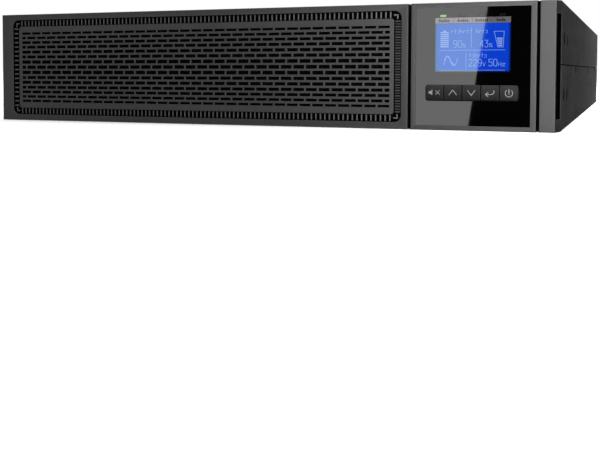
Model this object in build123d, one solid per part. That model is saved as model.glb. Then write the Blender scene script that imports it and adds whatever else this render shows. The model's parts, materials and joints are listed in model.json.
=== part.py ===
from build123d import *
import math
import os

# A 2U rack-mount uninterruptible power supply: a folded sheet-metal case, a pull-off plastic front
# bezel with a slotted air grille over a sliding battery tray, a square display module with five keys
# that pulls out of the front, and a rear panel with two fans, mains inlet, outlets and data ports.
# The frame is +X right, +Y to the rear, +Z up, with the origin under the middle of the case.
# "Depth" in this file is the distance behind the front face, in millimetres.

# ---- overall sizes
WIDTH = 438.0
HEIGHT = 86.5
LENGTH = 680.0
KEY_PROUD = 0.6            # the keys stand this far out of the front face
REAR_PROUD = 10.0          # room for what stands out of the rear panel
FACE_Y = -LENGTH / 2 + KEY_PROUD
SHEET = 1.2                # steel sheet of the case
FIT = 0.2                  # gap between sheet parts that slide together

# ---- case
HALF = WIDTH / 2
CASE_FRONT = 10.5          # depth where the steel case starts
CASE_REAR = LENGTH - KEY_PROUD - REAR_PROUD
SEAM_Z = 44.0              # the base comes up the sides to this height
SEAM_GAP = 0.8             # shadow gap between the base and the cover
INNER = HALF - SHEET
PANEL_IN = CASE_REAR - SHEET
BULKHEAD = (36.0, 37.2)
EAR_ROWS_Z = (24.25, 62.35)
EAR_COLUMNS = (37.0, 70.0)
EAR_HOLE_R = 2.0
DIMPLE_R = 4.7
NOTCH_DEPTHS = (176.0, 387.0, 568.0)
NOTCH_HALF, NOTCH_TALL = 4.0, 5.5

# ---- front face
FACE_HALF = 216.0          # the face is narrower than the case; its ends slope back to the case
FACE_Z = (0.3, 86.2)
SKIN = 2.0
GRIP_Z = (8.5, 78.0)       # finger recess in each end of the face
GRIP_IN = 208.2

# ---- grille in the left-hand bezel
BEZEL_RIGHT = 120.2
RING_X = (-205.4, 115.6)
RING_Z = (4.9, 81.7)
RING_R = 5.0
RIB_DEPTH = (3.0, 5.4)
RIB_WIDTH = 1.5
RIBS_ALONG, RIBS_UP = 94, 20
RIB_PITCH_X, RIB_PITCH_Z = 3.355, 3.67
GRILLE_X = (-199.8, 110.4)
GRILLE_Z = (10.3, 76.3)
GRILLE_DEPTH = (0.4, 2.4)
SLOT_ROWS, SLOT_ROW_PITCH, SLOT_HEIGHT = 15, 4.035, 2.1
SLOTS, SLOT_PITCH, SLOT_GAP = 32, 9.55, 1.4

# ---- display module
MODULE_X = (122.2, 204.45)
MODULE_Z = (0.25, 86.25)
MODULE_DEPTH = 8.6
PANEL_X = (125.5, 200.8)
PANEL_Z = (3.3, 83.1)
SCREEN_X = (138.4, 188.0)
SCREEN_Z = (39.6, 72.0)
LABEL_Z = (72.2, 76.2)
LED_PITCH, LED_Z = 12.9, 77.4
LED_SIZE = (4.0, 1.4)
KEYS = ("escape", "up", "down", "enter", "power")
KEY_X0, KEY_PITCH, KEY_GAP = 132.6, 12.16, 0.5
KEY_Z = (20.3, 30.7)
BODY_X = (125.0, 201.6)
BODY_Z = (4.0, 82.5)
BODY_REAR = 27.8

# ---- battery tray
TRAY_X = (-204.0, 104.0)
TRAY_Z = 5.4
TRAY_FRONT = (34.0, 35.4)
TRAY_REAR = 342.0
BATTERY = (151.0, 94.0, 65.0)
BATTERY_PITCH_Y = 100.0
THUMB_SCREWS_X = (-210.5, 113.5)
THUMB_Z = 43.0
CLIPS = ((-211.0, 6.0), (-211.0, 80.5), (117.6, 6.0), (117.6, 80.5))

# ---- rear panel layout, (centre x, centre z)
FANS_X = (-171.0, -87.0)
FAN = 80.0
FAN_Z = 43.25
FAN_THICK = 25.0
FAN_HOLE_PITCH = 71.5
OUTLET_BANKS_Z = (62.0, 30.0)
OUTLETS_X = tuple(-20.0 + 31.0 * i for i in range(4))
INLET = (121.0, 62.0)
BREAKER = (107.0, 24.0)
DC_CONNECTOR = (142.0, 24.0)
CARD_SLOT = (183.0, 66.0)
CARD_SLOT_SCREWS = (-28.5, 28.5)
USB = (171.0, 38.0)
SERIAL = (198.0, 38.0)
NETWORK = (190.0, 17.0)
EPO = (168.0, 15.0)
EARTH = (91.0, 10.0)
EARTH_R = 2.0
PORT_FACE = 2.0            # how far port bodies stand out of the rear panel
PORT_BACK = 22.0           # how far they reach inside

BOARD_Z = (10.0, 11.6)

FRONT = Plane(origin=(0, FACE_Y, 0), x_dir=(1, 0, 0), z_dir=(0, -1, 0))
ACROSS = (0, 1, 0)


# ---- drawing helpers
def block(x, depth, z):
    """A box between the given limits of x, depth and z."""
    size = [hi - lo for lo, hi in (x, depth, z)]
    return Pos(sum(x) / 2, FACE_Y + sum(depth) / 2, sum(z) / 2) * Box(*size)


def ring_of(shape, x, z):
    """The outline of a flat shape drawn on the front face at x, z."""
    return (FRONT * Pos(x, z) * shape).face().outer_wire()


def rectangle(x, z, radius=0.0):
    """An upright rectangular outline between limits, with round corners."""
    wide, high = x[1] - x[0], z[1] - z[0]
    shape = RectangleRounded(wide, high, radius) if radius else Rectangle(wide, high)
    return ring_of(shape, sum(x) / 2, sum(z) / 2)


def plate(outer, holes, depth):
    """An upright plate between two depths, from an outline and the outlines of its holes."""
    body = extrude(Face(outer, list(holes)), amount=depth[1] - depth[0], dir=ACROSS)
    return Pos(0, depth[0], 0) * body


def rod(x, z, radius, depth):
    """A round bar along the depth."""
    middle = FACE_Y + sum(depth) / 2
    return Pos(x, middle, z) * Rot(90, 0, 0) * Cylinder(radius, depth[1] - depth[0])


def post(x, depth, radius, z):
    """A round bar standing upright."""
    return Pos(x, FACE_Y + depth, sum(z) / 2) * Cylinder(radius, z[1] - z[0])


def cross_rod(x, depth, z, radius):
    """A round bar along x."""
    length = x[1] - x[0]
    return Pos(sum(x) / 2, FACE_Y + depth, z) * Rot(0, 90, 0) * Cylinder(radius, length)


def group(shapes):
    """Separate solids kept together in one node."""
    return Compound([solid for shape in shapes for solid in shape.solids()])


def soften(part, edges, radius):
    """Rounds the chosen edges."""
    return fillet(edges, radius) if edges else part


def case_edges(part, z):
    """The two long outer edges of the case at one height."""
    found = part.edges().filter_by(Axis.Y)
    return [e for e in found if abs(abs(e.center().X) - HALF) < 0.01 and abs(e.center().Z - z) < 0.01]


# ---- case
def ear_boss(side, depth, z):
    """The metal pushed inwards round a countersunk hole for a rack ear."""
    outer = side * INNER
    inner = side * (INNER - 1.6)
    return cross_rod(sorted((outer, inner)), depth, z, 6.2)


def ear_cut(side, depth, z):
    """The countersunk hole itself."""
    cone_long = 2.0
    cone = Cone(EAR_HOLE_R, DIMPLE_R, cone_long)
    cone = Pos(side * (HALF - cone_long / 2), FACE_Y + depth, z) * Rot(0, side * 90, 0) * cone
    hole = cross_rod(sorted((side * HALF, side * (HALF - 8))), depth, z, EAR_HOLE_R)
    return cone + hole


def with_ear_holes(part, z):
    places = [(side, depth, z) for side in (-1, 1) for depth in EAR_COLUMNS]
    for place in places:
        part += ear_boss(*place)
    for place in places:
        part -= ear_cut(*place)
    return part


COVER_SCREWS = [(side, depth, z) for side in (-1, 1) for depth, z in ((655.0, 24.0), (655.0, 64.0))]


def countersink(side, depth, z, gap):
    """A flat-head screw's shape in the side sheet, grown by gap."""
    head = Cone(1.5 + gap, 3.0 + gap, SHEET)
    head = Pos(side * (HALF - SHEET / 2), FACE_Y + depth, z) * Rot(0, side * 90, 0) * head
    shank = cross_rod(sorted((side * (HALF - 0.6), side * (HALF - 8))), depth, z, 1.5 + gap)
    return head + shank


def chassis_base():
    """The floor and lower sides, with lips behind the cover and the rails the battery tray slides on."""
    depth = (CASE_FRONT, CASE_REAR)
    base = block((-HALF, HALF), depth, (0, SHEET))
    for side in (-1, 1):
        base += block(sorted((side * INNER, side * HALF)), depth, (0, SEAM_Z))
        lip = (CASE_FRONT + 2, CASE_REAR - 20)
        base += block(sorted((side * (INNER - 1.4), side * INNER)), lip, (38.0, SEAM_Z - 0.1))
        base += block(sorted((side * (INNER - 1.4), side * (INNER - FIT))), lip, (SEAM_Z - 0.1, 50.0))
    base = with_ear_holes(base, EAR_ROWS_Z[0])
    for side in (-1, 1):
        for middle in NOTCH_DEPTHS:
            x = sorted((side * INNER, side * (HALF + 1)))
            depth_span = (middle - NOTCH_HALF, middle + NOTCH_HALF)
            base -= block(x, depth_span, (SEAM_Z - NOTCH_TALL, SEAM_Z + 1))
    for side, depth, z in COVER_SCREWS:
        if z < SEAM_Z:
            base -= countersink(side, depth, z, 0.1)
    for x in ((TRAY_X[0], TRAY_X[0] + 18), (TRAY_X[1] - 18, TRAY_X[1])):
        base += block(x, (BULKHEAD[1] + 1, TRAY_REAR), (SHEET - 0.1, TRAY_Z - FIT))
    return soften(base, case_edges(base, 0), 1.0)


def top_cover():
    depth = (CASE_FRONT, CASE_REAR)
    low = SEAM_Z + SEAM_GAP
    cover = block((-HALF, HALF), depth, (HEIGHT - SHEET, HEIGHT))
    for side in (-1, 1):
        cover += block(sorted((side * INNER, side * HALF)), depth, (low, HEIGHT))
    cover = with_ear_holes(cover, EAR_ROWS_Z[1])
    for side, depth, z in COVER_SCREWS:
        if z > SEAM_Z:
            cover -= countersink(side, depth, z, 0.1)
    return soften(cover, case_edges(cover, HEIGHT), 1.0)


def case_screws():
    """Flat-head screws that hold the cover and the base to the rear panel, and two for the card slot."""
    screws = [countersink(side, depth, z, 0.0) for side, depth, z in COVER_SCREWS]
    x, z = CARD_SLOT
    seat = CASE_REAR + SHEET
    for dx in CARD_SLOT_SCREWS:
        head = rod(x + dx, z, 3.0, (seat, seat + 2.4))
        screws.append(head + rod(x + dx, z, 1.5, (CASE_REAR + 0.01, seat)))
    return group(screws)


def front_bulkhead():
    """The steel wall behind the bezel: the battery bay's mouth, a cable window and two threaded bosses."""
    outer = rectangle((-INNER + 2.0, INNER - 2.0), (SHEET + FIT, HEIGHT - SHEET - FIT))
    mouth = rectangle((TRAY_X[0] - 2, TRAY_X[1] + 2), (5.0, 81.5))
    window = rectangle((150.0, 176.0), (34.0, 52.0), 1.5)
    wall = plate(outer, [mouth, window], BULKHEAD)
    for x in THUMB_SCREWS_X:
        wall += rod(x, THUMB_Z, 3.8, (BULKHEAD[0], BULKHEAD[1] + 4.0))
    for x in THUMB_SCREWS_X:
        wall -= rod(x, THUMB_Z, 2.05, (BULKHEAD[0] - 1, BULKHEAD[1] + 5.0))
    return wall


def clip_sockets():
    """Four cups on the bulkhead that hold the bezel's ball studs."""
    cups = []
    for x, z in CLIPS:
        cups.append(rod(x, z, 4.2, (29.0, BULKHEAD[0])) - rod(x, z, 3.3, (28.0, BULKHEAD[0])))
    return group(cups)


def bay_partition():
    """The L-shaped sheet that closes the battery bay off from the electronics."""
    z = (SHEET + 0.1, HEIGHT - SHEET - 0.1)
    side = block((118.5, 118.5 + SHEET), (BULKHEAD[1] + 5, 348.0), z)
    back = block((-INNER + 2, 118.5), (346.8, 348.0), z)
    return side + back


# ---- left-hand bezel, which pulls off
def end_profile(side, inner_x, z):
    """One end of the front face, sloping back and out to the case."""
    outline = Polyline(
        (side * inner_x, FACE_Y),
        (side * FACE_HALF, FACE_Y),
        (side * HALF, FACE_Y + CASE_FRONT),
        (side * inner_x, FACE_Y + CASE_FRONT),
        close=True,
    )
    face = Plane((0, 0, z[0])) * make_face(outline)
    return extrude(face, amount=z[1] - z[0], dir=(0, 0, 1))


def grip(side):
    """The finger recess in an end of the face, open to the side."""
    return block(sorted((side * GRIP_IN, side * (HALF + 1))), (SKIN, CASE_FRONT + 1), GRIP_Z)


def front_bezel():
    body = end_profile(-1, 200.0, FACE_Z)
    body += block((-200.0, BEZEL_RIGHT), (0, CASE_FRONT), FACE_Z)
    body -= plate(rectangle(RING_X, RING_Z, RING_R), [], (-1, RIB_DEPTH[0] - FIT))
    wide = (RING_X[0] - 1.2, RING_X[1] + 1.2)
    high = (RING_Z[0] - 1.2, RING_Z[1] + 1.2)
    body -= plate(rectangle(wide, high, RING_R), [], (RIB_DEPTH[0] - FIT, CASE_FRONT + 1))
    body -= grip(-1)
    front = [e for e in body.edges() if abs(e.center().Y - FACE_Y) < 0.01]
    rim = [e for e in front if e.bounding_box().max.Z - FACE_Z[0] < 0.01 or e.bounding_box().min.Z > 86.0]
    rim += [e for e in front if abs(e.center().X - BEZEL_RIGHT) < 0.01 or e.center().X < -215.9]
    return fillet(rim, 0.6)


def rib_gaps():
    """The openings between the ribs, all the way round the grille; those at the corners are short."""
    hidden = 0.6
    low = (RING_X[0] - hidden, RING_Z[0] - hidden)
    high = (RING_X[1] + hidden, RING_Z[1] + hidden)
    gaps = []
    for i in range(RIBS_ALONG - 1):
        x = sum(RING_X) / 2 + (i - (RIBS_ALONG - 2) / 2) * RIB_PITCH_X
        half = (RIB_PITCH_X - RIB_WIDTH) / 2
        reach = -2.0 if i in (0, RIBS_ALONG - 2) else hidden
        for z in ((low[1], GRILLE_Z[0] + reach), (GRILLE_Z[1] - reach, high[1])):
            gaps.append(rectangle((x - half, x + half), z))
    for i in range(RIBS_UP - 1):
        z = sum(RING_Z) / 2 + (i - (RIBS_UP - 2) / 2) * RIB_PITCH_Z
        half = (RIB_PITCH_Z - RIB_WIDTH) / 2
        reach = -1.2 if i in (0, RIBS_UP - 2) else hidden
        for x in ((low[0], GRILLE_X[0] + reach), (GRILLE_X[1] - reach, high[0])):
            gaps.append(rectangle(x, (z - half, z + half)))
    return gaps


def rib_ring():
    """A ladder of fine ribs in the channel round the grille."""
    outer = rectangle((RING_X[0] - 1, RING_X[1] + 1), (RING_Z[0] - 1, RING_Z[1] + 1), RING_R)
    inner = rectangle((GRILLE_X[0] + 2.5, GRILLE_X[1] - 2.5), (GRILLE_Z[0] + 2.5, GRILLE_Z[1] - 2.5))
    return plate(outer, [inner] + rib_gaps(), RIB_DEPTH)


def slot_spans(row):
    """The x limits of each slot in one row; every other row is shifted by half a pitch."""
    low = sum(GRILLE_X) / 2 - (SLOTS * SLOT_PITCH - SLOT_GAP) / 2
    high = low + SLOTS * SLOT_PITCH - SLOT_GAP
    shift = 0.0 if row % 2 == 0 else SLOT_PITCH / 2
    spans = []
    for i in range(-1, SLOTS + 1):
        start = low + shift + i * SLOT_PITCH
        span = (max(start, low), min(start + SLOT_PITCH - SLOT_GAP, high))
        if span[1] - span[0] > 1.0:
            spans.append(span)
    return spans


def grille_plate():
    holes = []
    for row in range(SLOT_ROWS):
        z = sum(GRILLE_Z) / 2 + (row - (SLOT_ROWS - 1) / 2) * SLOT_ROW_PITCH
        holes += [rectangle(x, (z - SLOT_HEIGHT / 2, z + SLOT_HEIGHT / 2)) for x in slot_spans(row)]
    flat = plate(rectangle(GRILLE_X, GRILLE_Z, 2.0), holes, GRILLE_DEPTH)
    wall = 1.2
    inside = rectangle(
        (GRILLE_X[0] + wall, GRILLE_X[1] - wall), (GRILLE_Z[0] + wall, GRILLE_Z[1] - wall), 0.8
    )
    rim = plate(rectangle(GRILLE_X, GRILLE_Z, 2.0), [inside], (GRILLE_DEPTH[1], RIB_DEPTH[0]))
    return flat + rim


def dust_filter():
    x, z = (RING_X[0] - 0.8, RING_X[1] + 0.8), (RING_Z[0] - 0.8, RING_Z[1] + 0.8)
    return plate(rectangle(x, z, RING_R - 0.4), [], (RIB_DEPTH[1], 8.0))


def filter_retainer():
    """A frame with two bars that holds the filter in from behind."""
    outer_x, outer_z = (RING_X[0] - 1, RING_X[1] + 1), (RING_Z[0] - 1, RING_Z[1] + 1)
    windows = []
    third = (outer_x[1] - outer_x[0]) / 3
    for i in range(3):
        left = outer_x[0] + i * third + 3
        windows.append(rectangle((left, left + third - 6), (outer_z[0] + 4, outer_z[1] - 4), 2.0))
    return plate(rectangle(outer_x, outer_z, RING_R), windows, (8.0, 9.8))


def bezel_clips():
    """Ball-headed studs on the back of the bezel."""
    studs = []
    for x, z in CLIPS:
        stud = rod(x, z, 1.9, (CASE_FRONT, 32.0))
        studs.append(stud + Pos(x, FACE_Y + 32.4, z) * Sphere(3.0))
    return group(studs)


# ---- fixed front frame round the display
def front_frame():
    strip = end_profile(1, 206.4, FACE_Z) - grip(1)
    flange_x = (BEZEL_RIGHT + 0.4, 206.4)
    pocket_x = (BODY_X[0] - 0.4, BODY_X[1] + 0.4)
    pocket_z = (BODY_Z[0] - 0.4, BODY_Z[1] + 0.4)
    pocket = rectangle(pocket_x, pocket_z, 2.0)
    flange = plate(rectangle(flange_x, FACE_Z), [pocket], (9.0, CASE_FRONT))
    sleeve_x = (pocket_x[0] - 1.6, pocket_x[1] + 1.6)
    sleeve_z = (pocket_z[0] - 1.6, pocket_z[1] + 1.6)
    sleeve = plate(rectangle(sleeve_x, sleeve_z, 3.0), [pocket], (CASE_FRONT, 34.0))
    feet = [block((203.6, 211.0), (CASE_FRONT, BULKHEAD[0]), z) for z in ((5.0, 12.0), (74.5, 81.5))]
    tie = block((203.6, 208.0), (CASE_FRONT - 1, 14.0), (5.0, 81.5))
    frame = strip + flange + sleeve + tie + feet[0] + feet[1]
    edges = [e for e in frame.edges() if abs(e.center().Y - FACE_Y) < 0.01]
    return fillet(edges, 0.6)


# ---- display module, which slides out
def key_span(i):
    left = KEY_X0 + i * KEY_PITCH
    return (left + KEY_GAP / 2, left + KEY_PITCH - KEY_GAP / 2)


def key_opening(gap):
    right = KEY_X0 + len(KEYS) * KEY_PITCH
    return rectangle((KEY_X0 - gap, right + gap), (KEY_Z[0] - gap, KEY_Z[1] + gap), 2.0)


def led_places():
    middle = sum(SCREEN_X) / 2
    return [middle + (i - 1.5) * LED_PITCH for i in range(4)]


def led_hole(x, gap=0.0):
    wide, high = LED_SIZE[0] / 2 + gap, LED_SIZE[1] / 2 + gap
    return rectangle((x - wide, x + wide), (LED_Z - high, LED_Z + high), 0.4)


def display_frame():
    """The square front shell of the module, with a shallow bed for the gloss panel."""
    shell = block(MODULE_X, (0, MODULE_DEPTH), MODULE_Z)
    shell -= plate(rectangle(PANEL_X, PANEL_Z, 0.8), [], (-1, 1.7))
    wall = 2.0
    hollow = [(lo + wall, hi - wall) for lo, hi in (MODULE_X, MODULE_Z)]
    shell -= block(hollow[0], (3.5, MODULE_DEPTH + 1), hollow[1])
    shell -= plate(key_opening(0.4), [], (1, 4))
    window = rectangle((SCREEN_X[0] - 0.3, SCREEN_X[1] + 0.3), (SCREEN_Z[0] - 0.3, SCREEN_Z[1] + 0.3))
    shell -= plate(window, [], (1, 4))
    for x in led_places():
        shell -= plate(led_hole(x, 0.1), [], (1, 4))
    outer = [e for e in shell.edges() if abs(e.center().Y - FACE_Y) < 0.01]
    rim = [e for e in outer if e.bounding_box().max.X > 204.4 or e.bounding_box().min.X < 122.3]
    return fillet(rim, 0.7)


def display_panel():
    """The gloss overlay with a window, four lamp holes and the key opening."""
    outer = rectangle((PANEL_X[0] + 0.1, PANEL_X[1] - 0.1), (PANEL_Z[0] + 0.1, PANEL_Z[1] - 0.1), 0.7)
    window = rectangle(SCREEN_X, (SCREEN_Z[0], LABEL_Z[1]))
    holes = [window, key_opening(0.3)] + [led_hole(x, 0.1) for x in led_places()]
    return plate(outer, holes, (0.4, 1.7))


def lcd_screen():
    glass = block((SCREEN_X[0] + 0.1, SCREEN_X[1] - 0.1), (0.5, 3.6), (SCREEN_Z[0] + 0.1, SCREEN_Z[1]))
    back = block((SCREEN_X[0] - 1.5, SCREEN_X[1] + 1.5), (3.5, 6.6), (SCREEN_Z[0] - 1.5, SCREEN_Z[1] + 2))
    return glass + back


def label_strip():
    return block((SCREEN_X[0] + 0.1, SCREEN_X[1] - 0.1), (0.5, 1.7), (LABEL_Z[0], LABEL_Z[1] - 0.1))


def status_leds():
    return group([plate(led_hole(x), [], (0.3, 10.0)) for x in led_places()])


def key(i):
    """One key cap, with a flange behind the shell and a stem to its switch."""
    span = key_span(i)
    middle = sum(span) / 2
    cap = block(span, (-KEY_PROUD, 3.8), KEY_Z)
    outer_x = {0: span[0], len(KEYS) - 1: span[1]}.get(i)
    if outer_x is not None:
        cap = fillet(cap_corner_edges(cap, outer_x), 1.7)
    front = cap.faces().sort_by(Axis.Y)[0].edges()
    cap = fillet(front, 0.3)
    flange = block((span[0] + 0.2, span[1] - 0.2), (3.8, 4.8), (KEY_Z[0] - 1.0, KEY_Z[1] + 1.0))
    return cap + flange + rod(middle, sum(KEY_Z) / 2, 1.8, (4.8, 5.3))


def cap_corner_edges(part, x):
    """The depth-wise edges of a key cap at one x."""
    return [e for e in part.edges().filter_by(Axis.Y) if abs(e.center().X - x) < 0.01]


def display_board():
    """The display's circuit board, with the ribbon-cable header soldered to its back."""
    pcb = block((BODY_X[0] + 2.5, BODY_X[1] - 2.5), (10.0, 11.6), (BODY_Z[0] + 2.5, BODY_Z[1] - 2.5))
    header = block((154.4, 171.6), (11.5, 31.0), (40.4, 46.6))
    return pcb + header - block((156.0, 170.0), (27.0, 32.0), (41.8, 45.2))


def key_switches():
    switches = []
    for i in range(len(KEYS)):
        x, z = sum(key_span(i)) / 2, sum(KEY_Z) / 2
        body = block((x - 3, x + 3), (6.9, 10.0), (z - 3, z + 3))
        switches.append(body + rod(x, z, 1.7, (6.2, 6.9)))
    return group(switches)


def display_back_cover():
    """The open box behind the module's front, which slides in the front frame's sleeve."""
    box = block(BODY_X, (MODULE_DEPTH, BODY_REAR), BODY_Z)
    box = fillet(box.edges().filter_by(Axis.Y), 1.6)
    inner_x = (BODY_X[0] + 1.8, BODY_X[1] - 1.8)
    box -= block(inner_x, (MODULE_DEPTH - 1, BODY_REAR - 1.8), (BODY_Z[0] + 1.8, BODY_Z[1] - 1.8))
    box -= block((154.0, 172.0), (BODY_REAR - 3, BODY_REAR + 1), (40.0, 47.0))
    return box


# ---- battery tray
def battery_tray():
    floor = block(TRAY_X, (TRAY_FRONT[1], TRAY_REAR), (TRAY_Z, TRAY_Z + SHEET))
    tray = floor
    for x in ((TRAY_X[0], TRAY_X[0] + SHEET), (TRAY_X[1] - SHEET, TRAY_X[1])):
        tray += block(x, (TRAY_FRONT[1], TRAY_REAR), (TRAY_Z, 34.0))
    tray += block(TRAY_X, (TRAY_REAR - SHEET, TRAY_REAR), (TRAY_Z, 34.0))
    front = block((TRAY_X[0] - 5, TRAY_X[1] + 5), TRAY_FRONT, (3.0, 83.3))
    for x in ((-215.4, -208.0), (108.0, 118.0)):
        front += block(x, TRAY_FRONT, (36.0, 50.0))
    for z in ((2.0, 11.5), (75.0, 84.0)):
        front -= block((-210.0, -205.5), (33.0, 37.0), z)
    for x in THUMB_SCREWS_X:
        front -= rod(x, THUMB_Z, 2.2, (33.0, 37.0))
    return tray + front


def batteries():
    """Six sealed lead-acid blocks lying on their long sides."""
    blocks = []
    for column in (0, 1):
        left = TRAY_X[0] + SHEET + 0.9 + column * (BATTERY[0] + 1.0)
        for row in range(3):
            front = TRAY_FRONT[1] + 2.6 + row * BATTERY_PITCH_Y
            depth = (front + 5.0, front + 5.0 + BATTERY[1])
            z = (TRAY_Z + SHEET + 0.1, TRAY_Z + SHEET + 0.1 + BATTERY[2])
            case = block((left, left + BATTERY[0]), depth, z)
            case = fillet(case.edges().filter_by(Axis.Y), 2.0)
            blocks.append(case)
    return group(blocks)


def battery_terminals():
    """The spade terminals, two on the front of each block."""
    tabs = []
    for column in (0, 1):
        left = TRAY_X[0] + SHEET + 0.9 + column * (BATTERY[0] + 1.0)
        for row in range(3):
            front = TRAY_FRONT[1] + 2.6 + row * BATTERY_PITCH_Y
            for x in (left + 20, left + BATTERY[0] - 20):
                tabs.append(block((x - 3.2, x + 3.2), (front + 0.4, front + 5.0), (58.0, 58.8)))
    return group(tabs)


def battery_hold_down():
    """A strap of sheet across the blocks, with its ends turned down to the tray's sides."""
    top = TRAY_Z + SHEET + BATTERY[2] + 0.3
    pieces = []
    for depth in ((100.0, 125.0), (250.0, 275.0)):
        strap = block((TRAY_X[0] - 1.3, TRAY_X[1] + 1.3), depth, (top, top + SHEET))
        for x in ((TRAY_X[0] - 1.3, TRAY_X[0] - 0.1), (TRAY_X[1] + 0.1, TRAY_X[1] + 1.3)):
            strap += block(x, depth, (22.0, top + SHEET))
        pieces.append(strap)
    return group(pieces)


def tray_handle():
    """A fixed bow handle on the tray's front plate."""
    left, right, z, depth, thick = -95.0, -5.0, 43.0, 18.0, 3.0
    bar = cross_rod((left, right), depth, z, thick)
    ends = [rod(x, z, thick, (depth, TRAY_FRONT[0])) for x in (left, right)]
    knees = [Pos(x, FACE_Y + depth, z) * Sphere(thick) for x in (left, right)]
    return bar + ends[0] + ends[1] + knees[0] + knees[1]


def tray_connector():
    """The battery lead's connector housing on the tray's front plate."""
    body = block((52.0, 92.0), (21.0, TRAY_FRONT[0]), (35.0, 51.0))
    for x in (62.0, 82.0):
        body -= block((x - 7.0, x + 7.0), (20.0, 31.0), (38.0, 48.0))
    return body


def thumb_screw(x):
    """A captive thumbscrew: a fluted head, and a shank that runs in the captive nut."""
    head = rod(x, THUMB_Z, 4.4, (25.0, 33.6))
    flutes = 12
    for i in range(flutes):
        angle = 2 * math.pi * i / flutes
        at = (x + 4.7 * math.cos(angle), THUMB_Z + 4.7 * math.sin(angle))
        head -= rod(at[0], at[1], 0.8, (27.0, 34.0))
    return head + rod(x, THUMB_Z, 2.0, (33.6, BULKHEAD[1] + 4.6))


# ---- rear panel and what is in it
def rear_cutouts():
    holes = []
    for x in FANS_X:
        holes.append(ring_of(Circle(37.6), x, FAN_Z))
        for dx, dz in fan_corners():
            holes.append(ring_of(Circle(2.1), x + dx, FAN_Z + dz))
    for z in OUTLET_BANKS_Z:
        holes.append(rectangle((OUTLETS_X[0] - 15.1, OUTLETS_X[-1] + 15.1), (z - 11.6, z + 11.6)))
    for (x, z), (wide, high) in PORT_SIZES.items():
        holes.append(rectangle((x - wide / 2, x + wide / 2), (z - high / 2, z + high / 2)))
    holes.append(ring_of(Circle(EARTH_R + 0.1), *EARTH))
    return holes


def fan_corners():
    half = FAN_HOLE_PITCH / 2
    return [(dx, dz) for dx in (-half, half) for dz in (-half, half)]


PORT_SIZES = {
    INLET: (33.0, 25.0),
    BREAKER: (19.0, 19.0),
    DC_CONNECTOR: (37.0, 16.0),
    CARD_SLOT: (54.0, 22.0),
    USB: (13.0, 12.0),
    SERIAL: (18.0, 10.0),
    NETWORK: (31.0, 14.0),
    EPO: (9.0, 10.0),
}


def rear_panel():
    outer = rectangle((-INNER + FIT, INNER - FIT), (SHEET + FIT, HEIGHT - SHEET - FIT))
    panel = plate(outer, rear_cutouts(), (PANEL_IN, CASE_REAR))
    for side in (-1, 1):
        x = sorted((side * (INNER - FIT), side * (INNER - FIT - SHEET)))
        tab = block(x, (649.5, PANEL_IN), (SHEET + FIT, 83.0))
        for screw_side, depth, z in COVER_SCREWS:
            if screw_side == side:
                tab -= countersink(side, depth, z, 0.15)
        panel += tab
    return panel


def fan_frame(x):
    depth = (PANEL_IN - FAN_THICK, PANEL_IN)
    half = FAN / 2
    holes = [ring_of(Circle(2.1), x + dx, FAN_Z + dz) for dx, dz in fan_corners()]
    holes.append(ring_of(Circle(38.0), x, FAN_Z))
    frame = plate(rectangle((x - half, x + half), (FAN_Z - half, FAN_Z + half), 3.0), holes, depth)
    motor = (depth[1] - 3.5, depth[1] - 0.3)
    frame += rod(x, FAN_Z, 16.5, motor)
    for angle in range(45, 405, 90):
        arm = Pos(27.0, 0, 0) * Box(24.0, 3.0, 3.0)
        frame += Pos(x, FACE_Y + sum(motor) / 2, FAN_Z) * Rot(0, angle, 0) * arm
    bore = rod(x, FAN_Z, 1.55, (depth[0], depth[1] - 1.0))
    return frame - bore


def fan_rotor(x):
    front = PANEL_IN - FAN_THICK + 2.0
    hub_depth = (front, PANEL_IN - 4.3)
    rotor = rod(x, FAN_Z, 15.5, hub_depth) + rod(x, FAN_Z, 1.5, (hub_depth[1], PANEL_IN - 1.5))
    blades = 7
    middle = FACE_Y + sum(hub_depth) / 2
    sweep = rod(x, FAN_Z, 36.6, hub_depth)
    for i in range(blades):
        turn = Rot(0, 360.0 * i / blades, 0)
        blade = Pos(x, middle, FAN_Z) * turn * Pos(25.5, 0, 0) * Rot(38, 0, 0) * Box(26.0, 1.4, 23.0)
        rotor += blade & sweep
    return rotor


def fan_guard(x):
    """A wire guard: four rings joined by four spokes, with a screw eye at each corner."""
    wire = 1.6
    near = CASE_REAR + 0.2
    guard = Compound([])
    for radius in (12.0, 20.0, 28.0, 36.0):
        hoop = ring_of(Circle(radius + wire / 2), x, FAN_Z)
        guard += plate(hoop, [ring_of(Circle(radius - wire / 2), x, FAN_Z)], (near, near + wire))
    for dx, dz in fan_corners():
        angle = math.degrees(math.atan2(-dz, dx))
        reach = math.hypot(dx, dz) - 2.6
        spoke = Pos((reach + 12.0) / 2, 0, 0) * Box(reach - 12.0, wire, wire)
        guard += Pos(x, FACE_Y + near + 1.4 * wire, FAN_Z) * Rot(0, angle, 0) * spoke
        eye = [ring_of(Circle(radius), x + dx, FAN_Z + dz) for radius in (3.6, 2.1)]
        guard += plate(eye[0], [eye[1]], (near + 0.9 * wire, near + 1.9 * wire))
    return guard


def fan_screws():
    """Pan-head screws through the guard, panel and frame."""
    screws = []
    head = CASE_REAR + 3.24
    for x in FANS_X:
        for dx, dz in fan_corners():
            screw = rod(x + dx, FAN_Z + dz, 3.5, (head + 0.05, head + 2.2))
            screw += rod(x + dx, FAN_Z + dz, 1.9, (PANEL_IN - 12.0, head + 0.1))
            screws.append(screw)
    return group(screws)


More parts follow.
